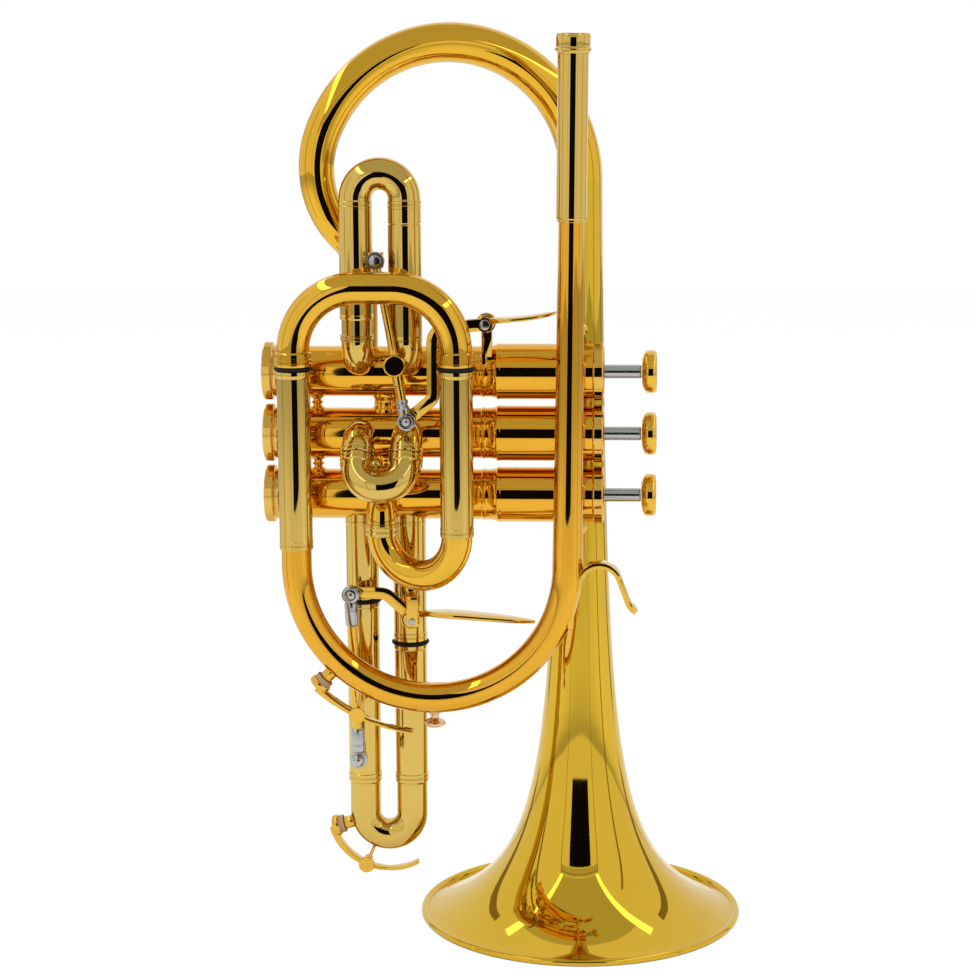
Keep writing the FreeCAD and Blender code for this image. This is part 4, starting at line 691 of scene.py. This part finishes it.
third_left, third_right = -87.3, -68.2
left_stop, right_stop, sleeve_end = 138.9, 121.6, 50.6
fixed_top, inner_end = valve_heights[2] - 6.0, 66.0
under_valve = [(4.6, 6.6), (4.8, 6.75), (5.7, 6.75), (5.9, 6.6)]
lines_from_end = [(3.4, 6.6), (3.2, 6.85), (2.0, 6.85), (1.8, 6.6), (1.5, 6.6), (1.3, 6.85), (0.2, 6.85), (0, 6.6),
                  (0, 5.95)]
for name, x, stop, ring_name in (("third_fixed_left", third_left, left_stop, "third_stop_left"),
                                 ("third_fixed_right", third_right, right_stop, "third_stop_right")):
    tube = Drawn(name, (x, valve_depth, fixed_top), DOWN, 6.6, 56)
    low = fixed_top - stop - 2 * ring_thick
    tube.along(under_valve + [(low - back, radius) for back, radius in lines_from_end]
               + [(fixed_top - inner_end, 5.95)])
    fit(tube.done(angle=30), painted_side_light_lacquer, "cornet", "lacquer_yellow",
        *(("third_fixed_tubes",) if x == third_left else ()))
    ring = rubber_ring(ring_name, (x, valve_depth, stop + ring_thick), 6.83, ring_thick)
    fit(ring, black_rubber, "third_slide", "black_rubber", *(("third_bumpers",) if x == third_left else ()))
third = Drawn("third_slide_bow", (third_left, valve_depth, left_stop), DOWN, 6.03, 56)
foot, rise = left_stop - sleeve_end, right_stop - sleeve_end
double_line = [(17.2, 6.6), (17.0, 6.85), (15.8, 6.85), (15.6, 6.6), (15.2, 6.6), (15.0, 6.85), (13.8, 6.85),
               (13.6, 6.55), (13.0, 6.3)]
third.along([(0.001, 6.6), (0.2, 6.85), (1.6, 6.9), (2.0, 6.6)]
            + [(foot - back, radius) for back, radius in double_line] + [(foot, 6.3)])
third.bend(RIGHT, bow_turn, 180, 36)
third.along(double_line[::-1]
            + [(rise - 2.0, 6.6), (rise - 1.6, 6.9), (rise - 0.2, 6.85), (rise, 6.6), (rise, 6.03)])
fit(third.done(angle=30), painted_side_light_lacquer, "third_slide", "lacquer_yellow", "third_slide")

# --- Trigger of the first slide ---------------------------
# A thumb saddle and its arm, forged from brass, turn on a post soldered over the first valve.  A
# silver-plated ball joint and a slim link carry the push up to the slide, and a round knob locks
# the link's length.

lever_lacquer = metal("lever_lacquer", (0.76, 0.46, 0.065), (0.68, 0.40, 0.050), 0.03, wave=0.012)


def softened(node, name, width, material, body, slot):
    """A small filed piece: the frame's own solid, cleaned and with its edges broken by hand."""
    made = bpy.data.objects.new(name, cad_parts[node].data.copy())
    made.data.name = name
    bpy.context.scene.collection.objects.link(made)
    bpy.ops.object.select_all(action="DESELECT")
    made.select_set(True)
    bpy.context.view_layer.objects.active = made
    bpy.ops.object.mode_set(mode="EDIT")
    bpy.ops.mesh.select_all(action="SELECT")
    bpy.ops.mesh.remove_doubles(threshold=2e-6)
    bpy.ops.mesh.select_all(action="SELECT")
    bpy.ops.mesh.dissolve_limited(angle_limit=math.radians(1.0))
    bpy.ops.object.mode_set(mode="OBJECT")
    rounding = made.modifiers.new("broken_edges", "BEVEL")
    rounding.width, rounding.segments, rounding.limit_method = width * MM, 2, "ANGLE"
    rounding.angle_limit = math.radians(42)
    bpy.ops.object.modifier_apply(modifier="broken_edges")
    bpy.ops.object.shade_smooth_by_angle(angle=math.radians(35))
    return fit(made, material, body, slot, node)


softened("first_trigger_post", "first_trigger_stand", 0.35, lever_lacquer, "cornet", "lacquer_yellow")
softened("trigger_pins", "trigger_pivots", 0.2, silver_plate, "cornet", "silver")
softened("first_slide_lug", "first_slide_ear", 0.35, lever_lacquer, "first_slide", "lacquer_yellow")
softened("first_link_socket", "first_link_ball_socket", 0.3, silver_plate, "first_link", "silver")
dress("trigger_springs", lever_lacquer)

first_pivot, first_joint = Vector((-36.1, -36.8, 253.1)), Vector((-66.3, -51.05, 216.2))
hub = Drawn("first_trigger_hub", first_pivot, FRONT, 1.3, 48)
hub.along([(0.001, 2.8), (0.3, 3.0), (4.2, 3.0), (4.4, 2.7), (5.0, 2.7), (5.2, 3.0), (10.7, 3.0), (11.0, 2.8),
           (11.001, 1.3), (0, 1.3)])
fit(hub.done(angle=30), lever_lacquer, "first_trigger", "lacquer_yellow", "first_trigger")
saddle = Drawn("first_trigger_saddle", (-34.2, -46.7, 254.6), Vector((1, 0, 0.02)), 1, across=BACK,
               section=(4.6, 2.0))
for step, wide, thick in (((1.6, 0, 0.1), 6.6, 2.0), ((2.4, 0, 0.2), 9.0, 1.8), ((3.4, 0, 0.25), 10.8, 1.6),
                          ((4.2, 0, 0.35), 11.2, 1.5), ((4.4, 0, 0.5), 10.8, 1.5), ((3.8, 0, 0.6), 9.6, 1.4),
                          ((3.0, 0, 0.6), 7.6, 1.3), ((2.0, 0, 0.4), 5.2, 1.1), ((1.1, 0, 0.25), 3.2, 0.9)):
    saddle.by(step).broad(wide, thick)
fit(saddle.done(edge=0.55), lever_lacquer, "first_trigger", "lacquer_yellow")
arm = Drawn("first_trigger_arm", (-37.0, -47.1, 253.1), LEFT, 1, across=BACK, section=(1.4, 5.0))
arm.by((-3.5, 0, -0.2)).by((-8.0, -3.2, -0.6)).by((-2.0, 0, -0.1))
arm.bend(DOWN, 5.6, 90, 10).by((0, -0.5, -19.9))
arm.bend(LEFT, 4.5, 41, 6)
arm.by(first_joint - arm.at / MM)
fit(arm.done(edge=0.4), lever_lacquer, "first_trigger", "lacquer_yellow")
ball = Drawn("first_trigger_ball", (-66.3, -50.2, 216.2), FRONT, 2.6, 40)
ball.along([(0.3, 2.9), (1.6, 2.9), (1.9, 2.4), (1.901, 1.0), (4.8, 1.0), (5.0, 1.3), (5.6, 1.75), (6.3, 1.9),
            (7.0, 1.75), (7.6, 1.2), (7.8, 0.2)])
fit(ball.done(angle=40), silver_plate, "first_trigger", "silver")

link_top, link_knee = Vector((-78.1, -49.4, 278.0)), Vector((-73.2, -49.3, 251.5))
link_foot = Vector((-67.2, -54.15, 219.3))
link = Drawn("first_link_rod", link_top, link_knee - link_top, 1.6, 32)
link.to((link_knee - link_top).length)
second_run, knob_share = link_foot - link_knee, 0.42
link.by(second_run * knob_share)
link.heading = second_run.normalized()
rest_length = second_run.length * (1 - knob_share)
link.along([(1.0, 2.1), (3.0, 2.1), (3.2, 1.9), (3.5, 1.9), (3.7, 2.2), (8.0, 2.25), (8.3, 1.9), (9.0, 1.8),
            (rest_length - 2.6, 1.8), (rest_length - 2.0, 2.3), (rest_length - 1.4, 2.5), (rest_length, 2.3)])
fit(link.done(angle=30), lever_lacquer, "first_link", "lacquer_yellow", "first_link")
knob_at = link_knee + second_run * knob_share
knob = Drawn("first_link_knob", knob_at + BACK * 0.4, FRONT, 2.6, 56)
knob.along([(0.6, 3.4), (1.4, 3.9), (2.2, 4.2), (5.8, 4.2), (6.1, 4.0), (6.2, 3.75), (6.2, 3.5), (6.2, 0.3)])
fit(knob.done(angle=30), lever_lacquer, "first_link", "lacquer_yellow")
eye = Drawn("first_link_eye", link_top + BACK * 1.6, FRONT, 1.3, 40)
eye.along([(0.001, 3.1), (0.3, 3.5), (2.8, 3.5), (3.2, 3.2), (3.2, 2.4), (3.6, 2.2), (4.0, 2.2), (4.1, 2.0),
           (4.1, 0.3)])
fit(eye.done(angle=30), silver_plate, "first_link", "silver")
neck_run = second_run.normalized()
neck = Drawn("first_link_neck", link_foot - neck_run * 5.2, neck_run, 1.9, 32)
neck.along([(0.001, 2.2), (0.3, 2.35), (1.4, 2.35), (1.7, 2.0), (2.2, 2.0), (2.8, 2.3), (4.4, 2.75),
            (5.0, 2.6)])
fit(neck.done(angle=30), silver_plate, "first_link", "silver")

# --- Trigger of the third slide ---------------------------
# A long finger blade and a cranked arm, forged from brass, turn between a bracket on the sleeve and
# a strap in front of it.  A lacquered rod with silver-plated sockets at its ends pushes the slide.

softened("third_trigger_bracket", "third_trigger_stand", 0.35, lever_lacquer, "cornet", "lacquer_yellow")
softened("third_slide_lug", "third_slide_ear", 0.3, lever_lacquer, "third_slide", "lacquer_yellow")
softened("third_rod_sockets", "third_rod_eyes", 0.3, silver_plate, "third_rod", "silver")
hub = Drawn("third_trigger_hub", (-66.5, -38.6, 134.9), FRONT, 1.3, 48)
hub.along([(0.001, 2.8), (0.3, 3.0), (5.3, 3.0), (5.6, 2.8), (5.6, 1.3), (0, 1.3)])
fit(hub.done(angle=30), lever_lacquer, "third_trigger", "lacquer_yellow", "third_trigger")
blade = Drawn("third_trigger_blade", (-65.0, -39.3, 135.6), RIGHT, 1, across=BACK, section=(1.4, 3.6))
for step, wide, thick in (((1.6, 0, 0.6), 3.0, 2.4), ((2.2, -0.3, 0.5), 3.6, 2.0), ((2.6, -0.5, 0.3), 7.0, 1.8),
                          ((6.0, 0, -0.2), 11.2, 1.8), ((8.0, 0, -0.5), 11.2, 1.8), ((9.0, 0, -0.7), 10.2, 1.7),
                          ((8.0, 0, -0.75), 8.4, 1.6), ((5.5, 0, -0.55), 6.2, 1.4),
                          ((3.2, 0, -0.35), 4.4, 1.2), ((1.8, 0, -0.2), 2.6, 1.0)):
    blade.by(step).broad(wide, thick)
fit(blade.done(edge=0.5), lever_lacquer, "third_trigger", "lacquer_yellow")
crank = Drawn("third_trigger_crank", (-65.6, -39.3, 134.6), Vector((-0.74, 0, 0.67)), 1, across=BACK,
              section=(1.6, 4.8))
crank.to(13.0).bend(Vector((-0.67, 0, -0.74)), 6.0, 42, 8)
crank.by(Vector((-90.5, -39.3, 144.9)) - crank.at / MM)
fit(crank.done(edge=0.4), lever_lacquer, "third_trigger", "lacquer_yellow")
ball = Drawn("third_trigger_ball", (-90.5, -38.4, 144.9), FRONT, 2.4, 40)
ball.along([(0.3, 2.6), (1.3, 2.6), (1.5, 1.0), (6.1, 1.0), (6.3, 1.5), (6.8, 1.9), (7.4, 1.8), (7.9, 1.1),
            (8.0, 0.2)])
fit(ball.done(angle=40), silver_plate, "third_trigger", "silver")
strap = Drawn("third_trigger_strap", (-65.75, -45.0, 132.4), UP, 1, across=RIGHT, section=(4.4, 1.2))
strap.by(UP * 11.2).bend(BACK, 1.4, 90, 6).by(BACK * 10.2)
fit(strap.done(edge=0.25), lever_lacquer, "cornet", "lacquer_yellow")
pivot_screw = Drawn("third_trigger_screw", (-65.9, -45.5, 134.6), FRONT, 1.2, 32)
pivot_screw.along([(0.2, 1.4), (0.5, 1.4), (0.8, 1.1), (0.8, 0.2)])
fit(pivot_screw.done(angle=30), silver_plate, "cornet", "silver")
rod_top, rod_foot = Vector((-90.5, -42.4, 144.9)), Vector((-88.2, -42.4, 77.1))
rod_run = (rod_foot - rod_top).length
rod = Drawn("third_rod_bar", rod_top + (rod_foot - rod_top).normalized() * 12.0, rod_foot - rod_top, 1.9, 36)
rod.along([(rod_run - 24.0, 1.9)])
fit(rod.done(angle=30), lever_lacquer, "third_rod", "lacquer_yellow", "third_rod")
for name, end, away in (("third_rod_socket_top", rod_top, rod_foot - rod_top),
                        ("third_rod_socket_foot", rod_foot, rod_top - rod_foot)):
    socket = Drawn(name, end + away.normalized() * 2.9, away, 1.9, 40)
    socket.along([(0.6, 2.6), (1.2, 2.75), (3.0, 2.75), (3.2, 2.5), (3.6, 2.5), (3.8, 2.75), (9.0, 2.7),
                  (9.6, 2.5), (10.0, 2.0)])
    fit(socket.done(angle=30), silver_plate, "third_rod", "silver")

foot_screw = Drawn("third_rod_foot_screw", rod_foot + FRONT * 1.2, FRONT, 2.3, 40)
foot_screw.along([(0.4, 2.6), (1.8, 2.6), (2.7, 2.3), (3.4, 1.7), (3.8, 0.9), (3.9, 0.2)])
fit(foot_screw.done(angle=40), silver_plate, "third_rod", "silver")

# --- Braces -----------------------------------------------
# Slim brass struts, turned with a bead and flared feet, and soldered between the leadpipe and the
# bell and between the tuning sleeves and the second valve.


def strut(name, start, end, *nodes):
    """One brace from foot to foot, with a bead at its middle."""
    start, end = Vector(start), Vector(end)
    span = (end - start).length
    made = Drawn(name, start, end - start, 3.2, 40)
    flared = [(0.35, 3.1), (0.7, 2.5), (1.1, 1.9), (1.6, 1.55), (2.6, 1.5)]
    bead = [(-1.6, 1.5), (-1.2, 1.75), (-0.7, 2.2), (0, 2.35), (0.7, 2.2), (1.2, 1.75), (1.6, 1.5)]
    made.along(flared + [(span / 2 + distance, radius) for distance, radius in bead]
               + [(span - distance, radius) for distance, radius in reversed(flared)] + [(span, 3.2)])
    return fit(made.done(), lever_lacquer, "cornet", "lacquer_yellow", *nodes)


pipe_lean = pipe_line.x / pipe_line.z
for number, height in enumerate((247.1, 166.9)):
    pipe_here = pipe_x + (height - bow_height) * pipe_lean
    strut(f"bell_brace_{number}", (pipe_here, -53.0, height), (0, -flare(height) + 0.5, height),
          *(("tube_braces",) if number == 0 else ()))
for number, x in enumerate((tuning_left, tuning_right)):
    strut(f"sleeve_brace_{number}", (x, -52.2, valve_heights[1]), (x, -36.6, valve_heights[1]))

# --- Finger hook ------------------------------------------
# A strap of half-hard brass, bent over a rod into a hook for the little finger and soldered by its
# long foot to the leadpipe.

hook = Drawn("little_finger_hook", (-4.3, pipe_depth, 124.1), Vector((0.144, 0, 0.99)), 1, across=BACK,
             section=(2.4, 0.9))
hook.to(2.0).broad(4.6, 1.3).to(3.5).broad(6.4, 1.8).to(6.5).broad(7.6, 2.2)
hook.bend(RIGHT, 60.0, 8, 2).to(11.5)
for radius, turn, steps in ((7.8, 73.5, 14), (8.0, 70.0, 14)):
    hook.bend(hook.heading.cross(FRONT), radius, turn, steps)
hook.broad(7.0, 2.1).to(9.4).broad(6.4, 2.3).bend(hook.heading.cross(BACK), 9.0, 27, 5)
hook.broad(5.8, 2.7).to(1.6).broad(4.2, 2.0)
fit(hook.done(edge=0.6), lever_lacquer, "cornet", "lacquer_yellow", "pinky_hook")

# --- Lyre holder ------------------------------------------
# A small block with a cross hole for a music clip, soldered behind the bow, and its thumb screw of
# bare brass with a flange and a flat turned head.

softened("lyre_holder", "lyre_block", 0.5, lever_lacquer, "cornet", "lacquer_yellow")
bpy.ops.object.mode_set(mode="EDIT")
bpy.ops.mesh.select_all(action="SELECT")
screw_seat = (-56.7, -49.75, 104.3)
bpy.ops.transform.resize(value=(1, 1, 0.6), center_override=Vector(screw_seat) * MM)
bpy.ops.object.mode_set(mode="OBJECT")
bare_brass = metal("bare_brass", (0.78, 0.52, 0.30), (0.70, 0.45, 0.25), 0.12, coat=0.0, wave=0.02)
screw = Drawn("lyre_thumb_screw", screw_seat, DOWN, 1.3, 60)
turned_head = [(7.9, 2.2), (8.5, 3.4), (9.0, 4.2), (9.6, 4.35), (10.2, 4.2), (10.8, 3.4), (11.2, 2.2), (11.3, 0.4)]
screw.along([(0.3, 1.6), (3.6, 1.6), (3.7, 2.7), (4.0, 2.9), (5.3, 2.9), (5.6, 2.6), (5.8, 1.7), (7.4, 1.6)]
            + turned_head)
fit(screw.done(angle=30), bare_brass, "lyre_screw", "bare_brass", "lyre_screw")

# --- Water keys -------------------------------------------
# Sprung levers that lift a cork off a nipple to let the moisture out.  Each is a curved strip of
# brass with a cup at one end and a finger plate at the other, on a pin between two posts.

cork_stuff = rough_stuff("cork", (0.52, 0.34, 0.18), (0.36, 0.21, 0.10), 0.8, 420.0, 0.5)
softened("lead_key_seat", "lead_key_posts", 0.2, lever_lacquer, "cornet", "lacquer_yellow")
softened("third_key_seat", "third_key_posts", 0.2, lever_lacquer, "third_slide", "lacquer_yellow")
dress("lead_key_cork", cork_stuff)
dress("third_key_cork", cork_stuff)


def water_key(name, centre, inner, cup_angle, pivot_angle, finger_angle, body, node):
    """Cup, curved lever and hub, between angles round the middle of the bow."""
    middle = Vector(centre)

    def polar(radius, degrees):
        turn = math.radians(degrees)
        return middle + Vector((math.cos(turn), 0, math.sin(turn))) * radius

    away = (polar(1, cup_angle) - middle)
    cup = Drawn(f"{name}_cup", polar(inner - 2.4, cup_angle), away, 3.62, 48)
    cup.along([(0.001, 4.1), (0.3, 4.3), (1.9, 4.3), (2.4, 4.0), (2.9, 3.2), (3.4, 2.0), (3.7, 0.4)])
    fit(cup.done(), lever_lacquer, body, "lacquer_yellow", node)
    round_bow = Vector((-away.z, 0, away.x))
    lever = Drawn(f"{name}_lever", polar(inner + 0.65, cup_angle), round_bow, 1, across=BACK, section=(4.2, 2.8))
    turn_all = finger_angle - cup_angle
    steps = 12
    for step in range(1, steps + 1):
        lever.bend(middle - lever.at / MM, inner + 0.65, turn_all / steps, 2)
        share = step / steps
        wide = 4.2 + 0.8 * min(1, share * 3)
        if share >= 0.6:
            wide = 5.0 - 1.4 * max(0, 1 - abs(share - 0.68) / 0.1)
        lever.broad(min(5.0, max(3.4, wide)), max(1.3, 2.8 - 2.6 * share))
    fit(lever.done(edge=0.3), lever_lacquer, body, "lacquer_yellow")
    axle = polar(inner, pivot_angle)
    tube = Drawn(f"{name}_hub", axle + BACK * 2.5, FRONT, 1.0, 40)
    tube.along([(0.001, 1.8), (0.2, 2.0), (4.8, 2.0), (5.0, 1.8), (5.0, 1.0), (0, 1.0)])
    fit(tube.done(angle=30), lever_lacquer, body, "lacquer_yellow")
    head = Drawn(f"{name}_pivot_head", axle + FRONT * 3.3, FRONT, 2.8, 40)
    head.along([(0.001, 3.1), (0.3, 3.3), (1.0, 3.3), (1.3, 3.1), (1.3, 0.3)])
    fit(head.done(angle=30), lever_lacquer, body, "lacquer_yellow")


bow_middle = (pipe_x - lead_bow_radius, pipe_depth, bow_height)
water_key("lead_key", bow_middle, 66.45, 227.0, 243.5, 263.5, "lead_key", "lead_water_key")
third_middle = (third_left + bow_turn, valve_depth, sleeve_end)
water_key("third_key", third_middle, 23.5, 196.0, 247.0, 300.0, "third_key", "third_water_key")

bpy.ops.object.select_all(action="DESELECT")
